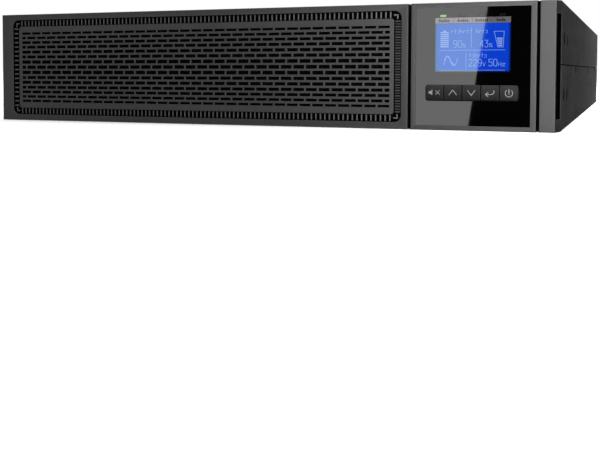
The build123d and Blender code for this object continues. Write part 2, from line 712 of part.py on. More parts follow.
def port_body(place, extra=0.0, flange=None):
    """A connector body in its cut-out, with a flange against the panel's outside."""
    (x, z), (wide, high) = place, PORT_SIZES[place]
    half_x, half_z = wide / 2 - FIT, high / 2 - FIT
    outside = CASE_REAR + PORT_FACE
    body = block((x - half_x, x + half_x), (CASE_REAR - PORT_BACK - extra, outside), (z - half_z, z + half_z))
    if flange:
        grow_x, grow_z = flange
        body += block(
            (x - half_x - grow_x, x + half_x + grow_x),
            (CASE_REAR, outside),
            (z - half_z - grow_z, z + half_z + grow_z),
        )
    return body


def cropped(wide, high, corner):
    """A rectangle with its two upper corners cut off, as in a mains connector."""
    w, h = wide / 2, high / 2
    points = [(-w, -h), (w, -h), (w, h - corner), (w - corner, h), (corner - w, h), (-w, h - corner)]
    return make_face(Polyline(*points, close=True))


def outlet_bank(z):
    """Four earthed mains outlets side by side in one moulding."""
    x = (OUTLETS_X[0] - 14.9, OUTLETS_X[-1] + 14.9)
    face = CASE_REAR + 3.0
    bank = block(x, (CASE_REAR - 22.0, face), (z - 11.4, z + 11.4))
    bank += block((x[0] - 2.5, x[1] + 2.5), (CASE_REAR, face), (z - 13.5, z + 13.5))
    bank = fillet([e for e in bank.edges() if abs(e.center().Y - FACE_Y - face) < 0.01], 0.6)
    depth = (face - 16.0, face + 1)
    for at in OUTLETS_X:
        outer = ring_of(cropped(26.0, 18.0, 4.5), at, z)
        core = ring_of(cropped(21.0, 13.0, 3.4), at, z)
        bank -= plate(outer, [core], depth)
        for dx, dz in ((-6.0, -1.5), (0.0, 2.5), (6.0, -1.5)):
            slot = rectangle((at + dx - 1.2, at + dx + 1.2), (z + dz - 2.6, z + dz + 2.6))
            bank -= plate(slot, [], (face - 14.0, face + 1))
    return bank


def mains_inlet():
    x, z = INLET
    inlet = port_body(INLET, extra=3.0, flange=(5.0, 2.0))
    face = CASE_REAR + PORT_FACE
    inlet -= plate(ring_of(cropped(30.0, 21.0, 5.0), x, z), [], (face - 18.0, face + 1))
    return inlet


def inlet_pins():
    x, z = INLET
    face = CASE_REAR + PORT_FACE
    pins = []
    for dx, dz in ((-8.5, 2.0), (0.0, -4.0), (8.5, 2.0)):
        across, up = (x + dx - 4.0, x + dx + 4.0), (z + dz - 1.0, z + dz + 1.0)
        pins.append(block(across, (face - 18.0, face - 3.0), up))
    return group(pins)


def breaker_body():
    x, z = BREAKER
    body = port_body(BREAKER, extra=8.0, flange=(1.5, 1.5))
    face = CASE_REAR + PORT_FACE
    body += rod(x, z, 7.5, (face, face + 1.5))
    return body - rod(x, z, 4.5, (face - 12.0, face + 2))


def breaker_button():
    x, z = BREAKER
    face = CASE_REAR + PORT_FACE
    return rod(x, z, 4.4, (face - 8.0, face + 3.0))


def dc_connector():
    """The socket for an external battery cabinet: two deep contact wells."""
    x, z = DC_CONNECTOR
    body = port_body(DC_CONNECTOR, flange=(2.0, 2.0))
    face = CASE_REAR + PORT_FACE
    for dx in (-9.0, 9.0):
        body -= block((x + dx - 6.5, x + dx + 6.5), (face - 14.0, face + 1), (z - 5.0, z + 5.0))
        body += block((x + dx - 5.0, x + dx + 5.0), (face - 14.0, face - 2.0), (z - 1.0, z + 1.0))
    return body


def usb_port():
    x, z = USB
    body = port_body(USB)
    face = CASE_REAR + PORT_FACE
    body -= block((x - 4.3, x + 4.3), (face - 10.0, face + 1), (z - 3.9, z + 3.9))
    return body + block((x - 2.8, x + 2.8), (face - 10.0, face - 1.0), (z - 1.6, z + 1.6))


def serial_port():
    """A nine-way D-shaped socket."""
    x, z = SERIAL
    face = CASE_REAR + PORT_FACE
    body = port_body(SERIAL, flange=(7.0, 1.6))
    points = [(-8.3, 4.1), (8.3, 4.1), (6.9, -4.1), (-6.9, -4.1)]
    shell = ring_of(make_face(Polyline(*points, close=True)), x, z)
    body += plate(shell, [], (face, face + 5.0))
    for row, count in ((1.4, 5), (-1.4, 4)):
        for i in range(count):
            body -= rod(x + (i - (count - 1) / 2) * 2.75, z + row, 0.5, (face, face + 6))
    return body


def network_ports():
    """Two eight-way jacks side by side."""
    x, z = NETWORK
    body = port_body(NETWORK)
    face = CASE_REAR + PORT_FACE
    for dx in (-7.6, 7.6):
        body -= block((x + dx - 5.9, x + dx + 5.9), (face - 13.0, face + 1), (z - 4.4, z + 3.6))
        body -= block((x + dx - 3.0, x + dx + 3.0), (face - 10.0, face + 1), (z + 3.5, z + 5.4))
    return body


def epo_terminal():
    """The two-pole terminal for an emergency-off switch."""
    x, z = EPO
    face = CASE_REAR + PORT_FACE
    body = port_body(EPO)
    body += block((x - 4.0, x + 4.0), (face, face + 4.0), (z - 4.0, z + 4.0))
    for dx in (-2.0, 2.0):
        body -= rod(x + dx, z - 1.6, 1.2, (face, face + 5))
        body -= rod(x + dx, z + 2.2, 0.9, (face + 2.5, face + 5))
    return body


def card_slot_cover():
    """The blanking plate over the expansion slot."""
    x, z = CARD_SLOT
    outer = rectangle((x - 31.0, x + 31.0), (z - 13.0, z + 13.0), 1.0)
    holes = [ring_of(Circle(1.8), x + dx, z) for dx in CARD_SLOT_SCREWS]
    cover = plate(outer, holes, (CASE_REAR, CASE_REAR + SHEET))
    grip_bar = block((x - 8.0, x + 8.0), (CASE_REAR + SHEET, CASE_REAR + 5.0), (z - 9.0, z - 7.8))
    return cover + grip_bar


def earth_stud():
    x, z = EARTH
    hexagon = extrude(FRONT * Pos(x, z) * RegularPolygon(4.0, 6), amount=1.6, dir=ACROSS)
    base = Pos(0, CASE_REAR, 0) * hexagon
    return base + rod(x, z, EARTH_R, (PANEL_IN - 4.0, CASE_REAR + REAR_PROUD))


# ---- electronics inside
BOARDS = {
    "main": ((-212.0, 212.0), (362.0, 630.0)),
    "charger": ((124.0, 212.0), (60.0, 338.0)),
}


def board(name):
    x, depth = BOARDS[name]
    return block(x, depth, BOARD_Z)


def board_standoffs():
    posts = []
    for x, depth in BOARDS.values():
        for at_x in (x[0] + 8, x[1] - 8):
            for at_depth in (depth[0] + 8, depth[1] - 8):
                posts.append(post(at_x, at_depth, 3.0, (SHEET, BOARD_Z[0])))
    return group(posts)


def heat_sinks():
    """Two finned extrusions standing on the main board."""
    sinks = []
    for middle in (-170.0, -60.0):
        sink = block((middle - 32, middle + 32), (385.0, 600.0), (BOARD_Z[1] + 0.1, 18.0))
        fins = 9
        for i in range(fins):
            at = middle + (i - (fins - 1) / 2) * 7.5
            sink += block((at - 1.0, at + 1.0), (385.0, 600.0), (18.0, 64.0))
        sinks.append(sink)
    return group(sinks)


def bus_capacitors():
    return group([post(-115.0, 400.0 + 36.0 * i, 14.0, (BOARD_Z[1] + 0.1, 62.0)) for i in range(6)])


def filter_chokes():
    """Three toroidal chokes lying on the main board."""
    rings = []
    for i in range(3):
        rings.append(Pos(30.0, FACE_Y + 410.0 + 62.0 * i, BOARD_Z[1] + 11.2) * Torus(17.0, 11.0))
    return group(rings)


def bypass_relays():
    return group([block((104 + 26 * i, 124 + 26 * i), (380, 404), (BOARD_Z[1] + 0.1, 34)) for i in range(4)])


def charger_transformer():
    """A wound core: the ferrite frame with its bobbin."""
    core = block((146.0, 190.0), (120.0, 156.0), (BOARD_Z[1] + 3, 50.0))
    return core + block((150.0, 186.0), (110.0, 166.0), (BOARD_Z[1] + 0.1, 46.0))


def parts():
    """Every node of the object by name."""
    made = {
        "chassis_base": chassis_base(),
        "top_cover": top_cover(),
        "case_screws": case_screws(),
        "front_bulkhead": front_bulkhead(),
        "clip_sockets": clip_sockets(),
        "bay_partition": bay_partition(),
        "front_bezel": front_bezel(),
        "rib_ring": rib_ring(),
        "grille_plate": grille_plate(),
        "dust_filter": dust_filter(),
        "filter_retainer": filter_retainer(),
        "bezel_clips": bezel_clips(),
        "front_frame": front_frame(),
        "display_frame": display_frame(),
        "display_panel": display_panel(),
        "lcd_screen": lcd_screen(),
        "label_strip": label_strip(),
        "status_leds": status_leds(),
        "display_board": display_board(),
        "key_switches": key_switches(),
        "display_back_cover": display_back_cover(),
        "battery_tray": battery_tray(),
        "batteries": batteries(),
        "battery_terminals": battery_terminals(),
        "battery_hold_down": battery_hold_down(),
        "tray_handle": tray_handle(),
        "tray_connector": tray_connector(),
        "rear_panel": rear_panel(),
        "fan_screws": fan_screws(),
        "fan_guards": group([fan_guard(x) for x in FANS_X]),
        "fan_frames": group([fan_frame(x) for x in FANS_X]),
        "outlet_banks": group([outlet_bank(z) for z in OUTLET_BANKS_Z]),
        "mains_inlet": mains_inlet(),
        "inlet_pins": inlet_pins(),
        "breaker_body": breaker_body(),
        "breaker_button": breaker_button(),
        "dc_connector": dc_connector(),
        "usb_port": usb_port(),
        "serial_port": serial_port(),
        "network_ports": network_ports(),
        "epo_terminal": epo_terminal(),
        "card_slot_cover": card_slot_cover(),
        "earth_stud": earth_stud(),
        "board_standoffs": board_standoffs(),
        "heat_sinks": heat_sinks(),
        "bus_capacitors": bus_capacitors(),
        "filter_chokes": filter_chokes(),
        "bypass_relays": bypass_relays(),
        "charger_transformer": charger_transformer(),
    }
    for name in BOARDS:
        made[f"{name}_board"] = board(name)
    for i, name in enumerate(KEYS):
        made[f"key_{name}"] = key(i)
    for side, x in zip(("left", "right"), THUMB_SCREWS_X):
        made[f"thumb_screw_{side}"] = thumb_screw(x)
    for side, x in zip(("left", "right"), FANS_X):
        made[f"fan_rotor_{side}"] = fan_rotor(x)
    return made


os.makedirs("parts", exist_ok=True)
for name, shape in parts().items():
    export_step(shape, f"parts/{name}.step")
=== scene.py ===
import json
import math

import bmesh
import bpy
from mathutils import Matrix, Vector

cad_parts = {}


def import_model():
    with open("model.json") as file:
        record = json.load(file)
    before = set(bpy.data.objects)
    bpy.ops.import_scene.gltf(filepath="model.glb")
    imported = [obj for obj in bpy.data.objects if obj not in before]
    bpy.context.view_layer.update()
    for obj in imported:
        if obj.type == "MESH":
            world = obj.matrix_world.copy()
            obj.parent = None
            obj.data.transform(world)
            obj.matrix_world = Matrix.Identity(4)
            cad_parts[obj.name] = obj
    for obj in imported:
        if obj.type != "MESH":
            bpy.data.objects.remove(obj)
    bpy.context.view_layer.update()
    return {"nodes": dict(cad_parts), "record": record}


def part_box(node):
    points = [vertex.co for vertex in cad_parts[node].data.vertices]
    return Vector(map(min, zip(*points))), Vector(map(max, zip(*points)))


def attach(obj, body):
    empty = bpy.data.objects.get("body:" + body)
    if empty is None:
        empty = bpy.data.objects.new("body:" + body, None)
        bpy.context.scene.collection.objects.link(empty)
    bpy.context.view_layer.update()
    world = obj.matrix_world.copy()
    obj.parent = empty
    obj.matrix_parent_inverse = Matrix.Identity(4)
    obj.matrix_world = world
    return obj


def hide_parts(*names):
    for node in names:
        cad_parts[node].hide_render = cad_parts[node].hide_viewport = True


# The looks of a 2U rack-mount UPS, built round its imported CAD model. Sizes in this file are in
# millimetres unless a name says otherwise, and "depth" is the distance behind the front face.

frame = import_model()
NODES = frame["nodes"]

MM = 0.001
FACE_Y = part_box("front_bezel")[0].y
LCD_X, LCD_Z = (138.5, 187.9), (39.7, 72.0)  # the limits of the screen's picture
LCD_LIT_Z = (39.7, 76.0)  # the backlight goes on under the label strip


def span(node):
    """(x limits, depth limits, z limits) of a CAD node, in millimetres."""
    low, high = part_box(node)
    face = Vector((0, FACE_Y, 0))
    low, high = (low - face) / MM, (high - face) / MM
    return (low.x, high.x), (low.y, high.y), (low.z, high.z)


# ---------------------------------------------------------------- materials

def nodes_of(name):
    """A new material's node tree, shader and the object-space coordinates."""
    material = bpy.data.materials.new(name)
    material.use_nodes = True
    tree = material.node_tree
    shader = tree.nodes["Principled BSDF"]
    coordinates = tree.nodes.new("ShaderNodeTexCoord")
    return material, tree, shader, coordinates.outputs["Object"]


def texture(tree, kind, where, size_mm):
    """A texture node whose features are about size_mm across."""
    node = tree.nodes.new(f"ShaderNodeTex{kind}")
    node.inputs["Scale"].default_value = 1.0 / (size_mm * MM)
    tree.links.new(where, node.inputs["Vector"])
    return node


def noise(tree, where, size_mm, detail=2.0, stretch=(1, 1, 1), rough=0.5):
    mapping = tree.nodes.new("ShaderNodeMapping")
    mapping.inputs["Scale"].default_value = stretch
    tree.links.new(where, mapping.inputs["Vector"])
    node = texture(tree, "Noise", mapping.outputs["Vector"], size_mm)
    node.inputs["Detail"].default_value = detail
    node.inputs["Roughness"].default_value = rough
    return node.outputs["Fac"]


def remap(tree, value, low, high, from_low=0.3, from_high=0.7):
    node = tree.nodes.new("ShaderNodeMapRange")
    node.inputs["From Min"].default_value = from_low
    node.inputs["From Max"].default_value = from_high
    node.inputs["To Min"].default_value = low
    node.inputs["To Max"].default_value = high
    tree.links.new(value, node.inputs["Value"])
    return node.outputs["Result"]


def blend_colours(tree, factor, first, second):
    """Mixes two colours, each a fixed colour or a socket."""
    node = tree.nodes.new("ShaderNodeMix")
    node.data_type = "RGBA"
    tree.links.new(factor, node.inputs["Factor"])
    for key, value in (("A", first), ("B", second)):
        socket = next(s for s in node.inputs if s.name == key and s.type == "RGBA")
        if isinstance(value, bpy.types.NodeSocket):
            tree.links.new(value, socket)
        else:
            socket.default_value = (*value, 1)
    return next(s for s in node.outputs if s.type == "RGBA")


def bump(tree, shader, height, strength, distance_mm):
    node = tree.nodes.new("ShaderNodeBump")
    node.inputs["Strength"].default_value = strength
    node.inputs["Distance"].default_value = distance_mm * MM
    tree.links.new(height, node.inputs["Height"])
    tree.links.new(node.outputs["Normal"], shader.inputs["Normal"])


def product(tree, first, second):
    """Multiplies a socket by another socket or by a number."""
    node = tree.nodes.new("ShaderNodeMath")
    node.operation = "MULTIPLY"
    tree.links.new(first, node.inputs[0])
    if isinstance(second, bpy.types.NodeSocket):
        tree.links.new(second, node.inputs[1])
    else:
        node.inputs[1].default_value = second
    return node.outputs[0]


def axes_of(tree, vector):
    """The X, Y and Z outputs of a vector."""
    node = tree.nodes.new("ShaderNodeSeparateXYZ")
    tree.links.new(vector, node.inputs[0])
    return node.outputs


def patchy(tree, where, colour, shade, size_mm, detail):
    """A colour that wanders a little darker and lighter from place to place."""
    dark, light = (tuple(min(1.0, c * (1 + by)) for c in colour) for by in (-shade, shade))
    patches = remap(tree, noise(tree, where, size_mm, detail), 0, 1)
    return blend_colours(tree, patches, dark, light)


def smudge(tree, shader, where, size_mm, low, high):
    """Gives the shader a roughness that wanders between two values."""
    tree.links.new(remap(tree, noise(tree, where, size_mm), low, high), shader.inputs["Roughness"])


def edge_mask(tree, radius_mm):
    """Near 1 on a convex or concave edge and 0 on flat ground."""
    edge_dot, flat_dot = 0.72, 0.98
    bevel = tree.nodes.new("ShaderNodeBevel")
    bevel.samples = 4
    bevel.inputs["Radius"].default_value = radius_mm * MM
    geometry = tree.nodes.new("ShaderNodeNewGeometry")
    dot = tree.nodes.new("ShaderNodeVectorMath")
    dot.operation = "DOT_PRODUCT"
    tree.links.new(bevel.outputs["Normal"], dot.inputs[0])
    tree.links.new(geometry.outputs["True Normal"], dot.inputs[1])
    return remap(tree, dot.outputs["Value"], 1.0, 0.0, edge_dot, flat_dot)


def surface(name, colour, rough, metal=0.0, specular=0.5, shade=0.12, shade_mm=60,
            rough_spread=0.08, smudge_mm=35, grain_mm=0.4, grain=0.15, grain_depth_mm=0.03,
            wear=0.0, wear_colour=None, wear_mm=0.5, brushed=(1, 1, 1), sides=None, ends=None,
            lower=None):
    """A material with patchy colour, smudged roughness, a fine grain and worn edges.

    Brushed is how a grain is stretched. With sides, what doesn't face forwards takes that colour,
    a painted shade. With ends, what faces left or right takes that colour, a painted shade. Lower
    is a painted shade: the colour towards the bottom, and the two heights between which it changes."""
    material, tree, shader, where = nodes_of(name)
    shader.inputs["Metallic"].default_value = metal
    shader.inputs["Specular IOR Level"].default_value = specular
    tint = patchy(tree, where, colour, shade, shade_mm, 4.0)
    smudges = remap(tree, noise(tree, where, smudge_mm, 5.0, rough=0.65), rough - rough_spread,
                    rough + rough_spread)
    if wear:
        scuffs = remap(tree, noise(tree, where, 3.0, 4.0, rough=0.7), 0.25, 1.0, 0.4, 0.62)
        amount = product(tree, product(tree, edge_mask(tree, wear_mm), scuffs), wear)
        lighter = wear_colour or tuple(min(1.0, c * 2.2 + 0.02) for c in colour)
        tint = blend_colours(tree, amount, tint, lighter)
    # painted shade: the colour darkens towards the bottom
    if lower:
        bottom, (low, high) = lower
        height = remap(tree, axes_of(tree, where)["Z"], 0, 1, low * MM, high * MM)
        tint = blend_colours(tree, height, bottom, tint)
    if sides or ends:
        facing = axes_of(tree, where.node.outputs["Normal"])
    # painted shade: what doesn't face forwards goes dark, as if in shadow
    if sides:
        painted = remap(tree, facing["Y"], 1, 0, -0.9, -0.6)
        tint = blend_colours(tree, painted, sides, tint)
    # painted shade: what faces left or right takes the dark ends colour, as if in shadow
    if ends:
        across = tree.nodes.new("ShaderNodeMath")
        across.operation = "ABSOLUTE"
        tree.links.new(facing["X"], across.inputs[0])
        sideways = remap(tree, across.outputs[0], 0, 1, 0.75, 0.92)
        tint = blend_colours(tree, sideways, tint, ends)
    tree.links.new(tint, shader.inputs["Base Color"])
    tree.links.new(smudges, shader.inputs["Roughness"])
    if grain:
        bump(tree, shader, noise(tree, where, grain_mm, 3.0, brushed), grain, grain_depth_mm)
    return material


def painted_edge_shade(tree, where, x, z):
    """1 inside an upright rectangle, falling off at its edges: a painted shade round a recessed
    screen.
    """
    reach, least = 1.6, 0.12
    axes = axes_of(tree, where)
    rim_shade = None
    for axis, (low, high) in (("X", x), ("Z", z)):
        for edge, sign in ((low, 1), (high, -1)):
            side = remap(tree, axes[axis], least, 1, edge * MM, (edge + sign * reach) * MM)
            rim_shade = side if rim_shade is None else product(tree, rim_shade, side)
    return rim_shade


def glowing(name, colour, strength, base=(0.01, 0.01, 0.01), shade_mm=12, rim_shade=None):
    """A lit surface behind gloss: it glows evenly, bar a slight unevenness of the backlight and any
    painted edge shade.
    """
    rough, shade = 0.02, 0.06
    material, tree, shader, where = nodes_of(name)
    glow = patchy(tree, where, colour, shade, shade_mm, 2.0)
    # painted shade: the glow darkens towards the screen's edges, as if shaded by the frame round the
    # recessed glass
    if rim_shade:
        glow = blend_colours(tree, painted_edge_shade(tree, where, *rim_shade), (0.0, 0.0, 0.01), glow)
    tree.links.new(glow, shader.inputs["Emission Color"])
    shader.inputs["Emission Strength"].default_value = strength
    shader.inputs["Base Color"].default_value = (*base, 1)
    smudge(tree, shader, where, 20, rough * 0.6, rough * 1.4)
    return material


def dress(obj, material):
    obj.data.materials.clear()
    obj.data.materials.append(material)


# ---------------------------------------------------------------- mesh helpers

def new_object(name, mesh, material):
    obj = bpy.data.objects.new(name, mesh)
    bpy.context.scene.collection.objects.link(obj)
    dress(obj, material)
    return obj


def new_piece(name, mesh, material, body):
    obj = new_object(name, mesh, material)
    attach(obj, body)
    return obj


def finished(bm, name, angle=35.0):
    """A mesh from a bmesh in millimetres (x, depth, z), with smooth shading up to an angle."""
    bmesh.ops.remove_doubles(bm, verts=bm.verts, dist=1e-4)
    bmesh.ops.recalc_face_normals(bm, faces=bm.faces)
    bm.transform(Matrix.Translation((0, FACE_Y, 0)) @ Matrix.Scale(MM, 4))
    mesh = bpy.data.meshes.new(name)
    bm.to_mesh(mesh)
    bm.free()
    for polygon in mesh.polygons:
        polygon.use_smooth = True
    mesh.set_sharp_from_angle(angle=math.radians(angle))
    return mesh


def grown(limits, by):
    return (limits[0] - by, limits[1] + by)


def full_turn(steps):
    return [2 * math.pi * i / steps for i in range(steps)]


def arc(x, z, radius, start, end, steps):
    turns = [math.radians(start + (end - start) * i / steps) for i in range(steps + 1)]
    return [(x + radius * math.cos(a), z + radius * math.sin(a)) for a in turns]


def rounded(x, z, radius, steps=5):
    """The points round a rectangle with round corners, anticlockwise seen from the front.

    The radius is a number, or a pair for the right-hand and the left-hand corners."""
    right, left = radius if isinstance(radius, tuple) else (radius, radius)
    points = []
    corners = ((x[1], z[0], -90, right), (x[1], z[1], 0, right), (x[0], z[1], 90, left),
               (x[0], z[0], 180, left))
    for cx, cz, start, r in corners:
        mx = cx - math.copysign(r, cx - sum(x) / 2)
        mz = cz - math.copysign(r, cz - sum(z) / 2)
        points += arc(mx, mz, r, start, start + 90.0, steps)
    return points


def box_loop(x, z):
    return [(x[0], z[0]), (x[1], z[0]), (x[1], z[1]), (x[0], z[1])]


def circle_loop(x, z, radius, steps=24):
    return [(x + radius * math.cos(a), z + radius * math.sin(a)) for a in full_turn(steps)]


def plate_mesh(name, outline, holes, depth, bevel=0.0, bevel_steps=1):
    """An upright plate between two depths with holes, its rims rounded over by bevel."""
    curve = bpy.data.curves.new(name, "CURVE")
    curve.dimensions = "2D"
    curve.fill_mode = "BOTH"
    curve.extrude = (depth[1] - depth[0]) / 2 - bevel
    curve.bevel_depth = bevel
    curve.bevel_resolution = bevel_steps - 1
    curve.offset = -bevel
    for loop in [outline] + [list(reversed(hole)) for hole in holes]:
        spline = curve.splines.new("POLY")
        spline.points.add(len(loop) - 1)
        for point, (x, z) in zip(spline.points, loop):
            point.co = (x, z, 0, 1)
        spline.use_cyclic_u = True
    holder = bpy.data.objects.new(name, curve)
    bpy.context.scene.collection.objects.link(holder)
    depsgraph = bpy.context.evaluated_depsgraph_get()
    made = bpy.data.meshes.new_from_object(holder.evaluated_get(depsgraph))
    bm = bmesh.new()
    bm.from_mesh(made)
    bpy.data.objects.remove(holder)
    bpy.data.curves.remove(curve)
    bpy.data.meshes.remove(made)
    upright = Matrix(((1, 0, 0, 0), (0, 0, -1, sum(depth) / 2), (0, 1, 0, 0), (0, 0, 0, 1)))
    bm.transform(upright)
    return finished(bm, name)


def add_block(bm, x, depth, z):
    """Adds a box to a bmesh and returns its vertices."""
    size = [hi - lo for lo, hi in (x, depth, z)]
    middle = Matrix.Translation([(lo + hi) / 2 for lo, hi in (x, depth, z)])
    return bmesh.ops.create_cube(bm, size=1, matrix=middle @ Matrix.Diagonal((*size, 1)))["verts"]


def bridge(bm, rings, closed=False):
    """Faces between each ring of vertices and the next, and back to the first ring if closed."""
    count = len(rings[0])
    for a, b in zip(rings, rings[1:] + (rings[:1] if closed else [])):
        for k in range(count):
            bm.faces.new((a[k], a[(k + 1) % count], b[(k + 1) % count], b[k]))


def ribbon(path, width):
    """The outline of a stroke of even width along an open path of (x, z) points."""
    left, right = [], []
    for i, here in enumerate(path):
        before = Vector(path[max(i - 1, 0)])
        after = Vector(path[min(i + 1, len(path) - 1)])
        at = Vector(here)
        into = (at - before).normalized() if i else (after - at).normalized()
        out = (after - at).normalized() if i < len(path) - 1 else into
        mid = (into + out).normalized()
        normal = Vector((-mid.y, mid.x))
        reach = width / 2 / max(0.35, normal.dot(Vector((-into.y, into.x))))
        left.append(tuple(at + normal * reach))
        right.append(tuple(at - normal * reach))
    return right + left[::-1]


def joined(name, meshes):
    bm = bmesh.new()
    for mesh in meshes:
        bm.from_mesh(mesh)
        bpy.data.meshes.remove(mesh)
    mesh = bpy.data.meshes.new(name)
    bm.to_mesh(mesh)
    bm.free()
    return mesh


def marks_mesh(name, loops, depth, gap=0.0):
    """Thin flat shapes from their outlines; a gap keeps strokes that cross a hair apart in depth."""
    return joined(name, [plate_mesh(f"{name}_{i}", loop, [], (depth[0] + gap * (i % 7), depth[1]))
                         for i, loop in enumerate(loops)])


def smooth_shading():
    """A geometry node group that shades everything smooth, for use as a modifier."""
    group = bpy.data.node_groups.new("smooth_shading", "GeometryNodeTree")
    for direction in ("INPUT", "OUTPUT"):
        group.interface.new_socket("Geometry", in_out=direction, socket_type="NodeSocketGeometry")
    source = group.nodes.new("NodeGroupInput")
    smooth = group.nodes.new("GeometryNodeSetShadeSmooth")
    result = group.nodes.new("NodeGroupOutput")
    group.links.new(source.outputs[0], smooth.inputs["Geometry"])
    group.links.new(smooth.outputs[0], result.inputs[0])
    return group


SMOOTH = smooth_shading()


def soft_edges(node, width):
    """Rounds a CAD node's sharp edges with modifiers, so that they catch the light."""
    weld_distance, flat_degrees, sharp_degrees = 0.002, 0.3, 30.0
    obj = NODES[node]
    weld = obj.modifiers.new("weld", "WELD")
    weld.merge_threshold = weld_distance * MM
    flat = obj.modifiers.new("flatten", "DECIMATE")
    flat.decimate_type = "DISSOLVE"
    flat.angle_limit = math.radians(flat_degrees)
    obj.modifiers.new("smooth", "NODES").node_group = SMOOTH
    bevel = obj.modifiers.new("bevel", "BEVEL")
    bevel.width = width * MM
    bevel.segments = 2
    bevel.limit_method = "ANGLE"
    bevel.angle_limit = math.radians(sharp_degrees)
    bevel.use_clamp_overlap = True
    bevel.harden_normals = True
    bevel.miter_outer = "MITER_ARC"


# ---------------------------------------------------------------- the slots' materials

def foam(name):
    """Black open-cell foam: a dense field of dark pores."""
    material, tree, shader, where = nodes_of(name)
    pores = texture(tree, "Voronoi", where, 0.9)
    open_cells = remap(tree, pores.outputs["Distance"], 0, 1, 0.1, 0.6)
    tint = blend_colours(tree, open_cells, (0.001, 0.001, 0.001), (0.006, 0.006, 0.007))
    tree.links.new(tint, shader.inputs["Base Color"])
    smudge(tree, shader, where, 8, 0.88, 1.0)
    shader.inputs["Specular IOR Level"].default_value = 0.1
    bump(tree, shader, pores.outputs["Distance"], 0.8, 0.5)
    return material


def winding(name, copper, gap, pitch_mm):
    """Enamelled wire wound on a core, drawn as fine and slightly wavy ridges."""
    material, tree, shader, where = nodes_of(name)
    wave = texture(tree, "Wave", where, pitch_mm * math.pi)
    wave.bands_direction = "X"
    wave.inputs["Distortion"].default_value = 1.5
    wave.inputs["Detail"].default_value = 1.0
    tree.links.new(blend_colours(tree, wave.outputs["Fac"], gap, copper), shader.inputs["Base Color"])
    smudge(tree, shader, where, 6, 0.2, 0.4)
    shader.inputs["Metallic"].default_value = 0.6
    bump(tree, shader, wave.outputs["Fac"], 0.6, 0.4)
    return material


def solder_mask(name):
    """A circuit board: green mask with lighter tracks and a scatter of tinned pads."""
    material, tree, shader, where = nodes_of(name)
    tracks = texture(tree, "Brick", where, 9.0)
    tracks.inputs["Mortar Size"].default_value = 0.06
    tracks.inputs["Color1"].default_value = (0.006, 0.09, 0.035, 1)
    tracks.inputs["Color2"].default_value = (0.008, 0.11, 0.042, 1)
    tracks.inputs["Mortar"].default_value = (0.02, 0.2, 0.08, 1)
    pads = texture(tree, "Voronoi", where, 5.0)
    pad = remap(tree, pads.outputs["Distance"], 1, 0, 0.14, 0.18)
    tint = blend_colours(tree, pad, tracks.outputs["Color"], (0.6, 0.58, 0.52))
    tree.links.new(tint, shader.inputs["Base Color"])
    tree.links.new(pad, shader.inputs["Metallic"])
    smudge(tree, shader, where, 14, 0.22, 0.4)
    bump(tree, shader, tracks.outputs["Fac"], 0.3, 0.1)
    return material


def galvanised(name, colour):
    """Zinc-plated sheet, with crystals of slightly different tone and a drawn grain."""
    rough = 0.36
    material, tree, shader, where = nodes_of(name)
    crystals = texture(tree, "Voronoi", where, 7.0)
    spread = remap(tree, crystals.outputs["Color"], 0, 1, 0.1, 0.9)
    dark = tuple(c * 0.82 for c in colour)
    tree.links.new(blend_colours(tree, spread, dark, colour), shader.inputs["Base Color"])
    drawn = noise(tree, where, 1.2, 3.0, (1.0, 0.06, 1.0))
    tree.links.new(remap(tree, drawn, rough - 0.1, rough + 0.12), shader.inputs["Roughness"])
    shader.inputs["Metallic"].default_value = 1.0
    bump(tree, shader, drawn, 0.08, 0.02)
    return material


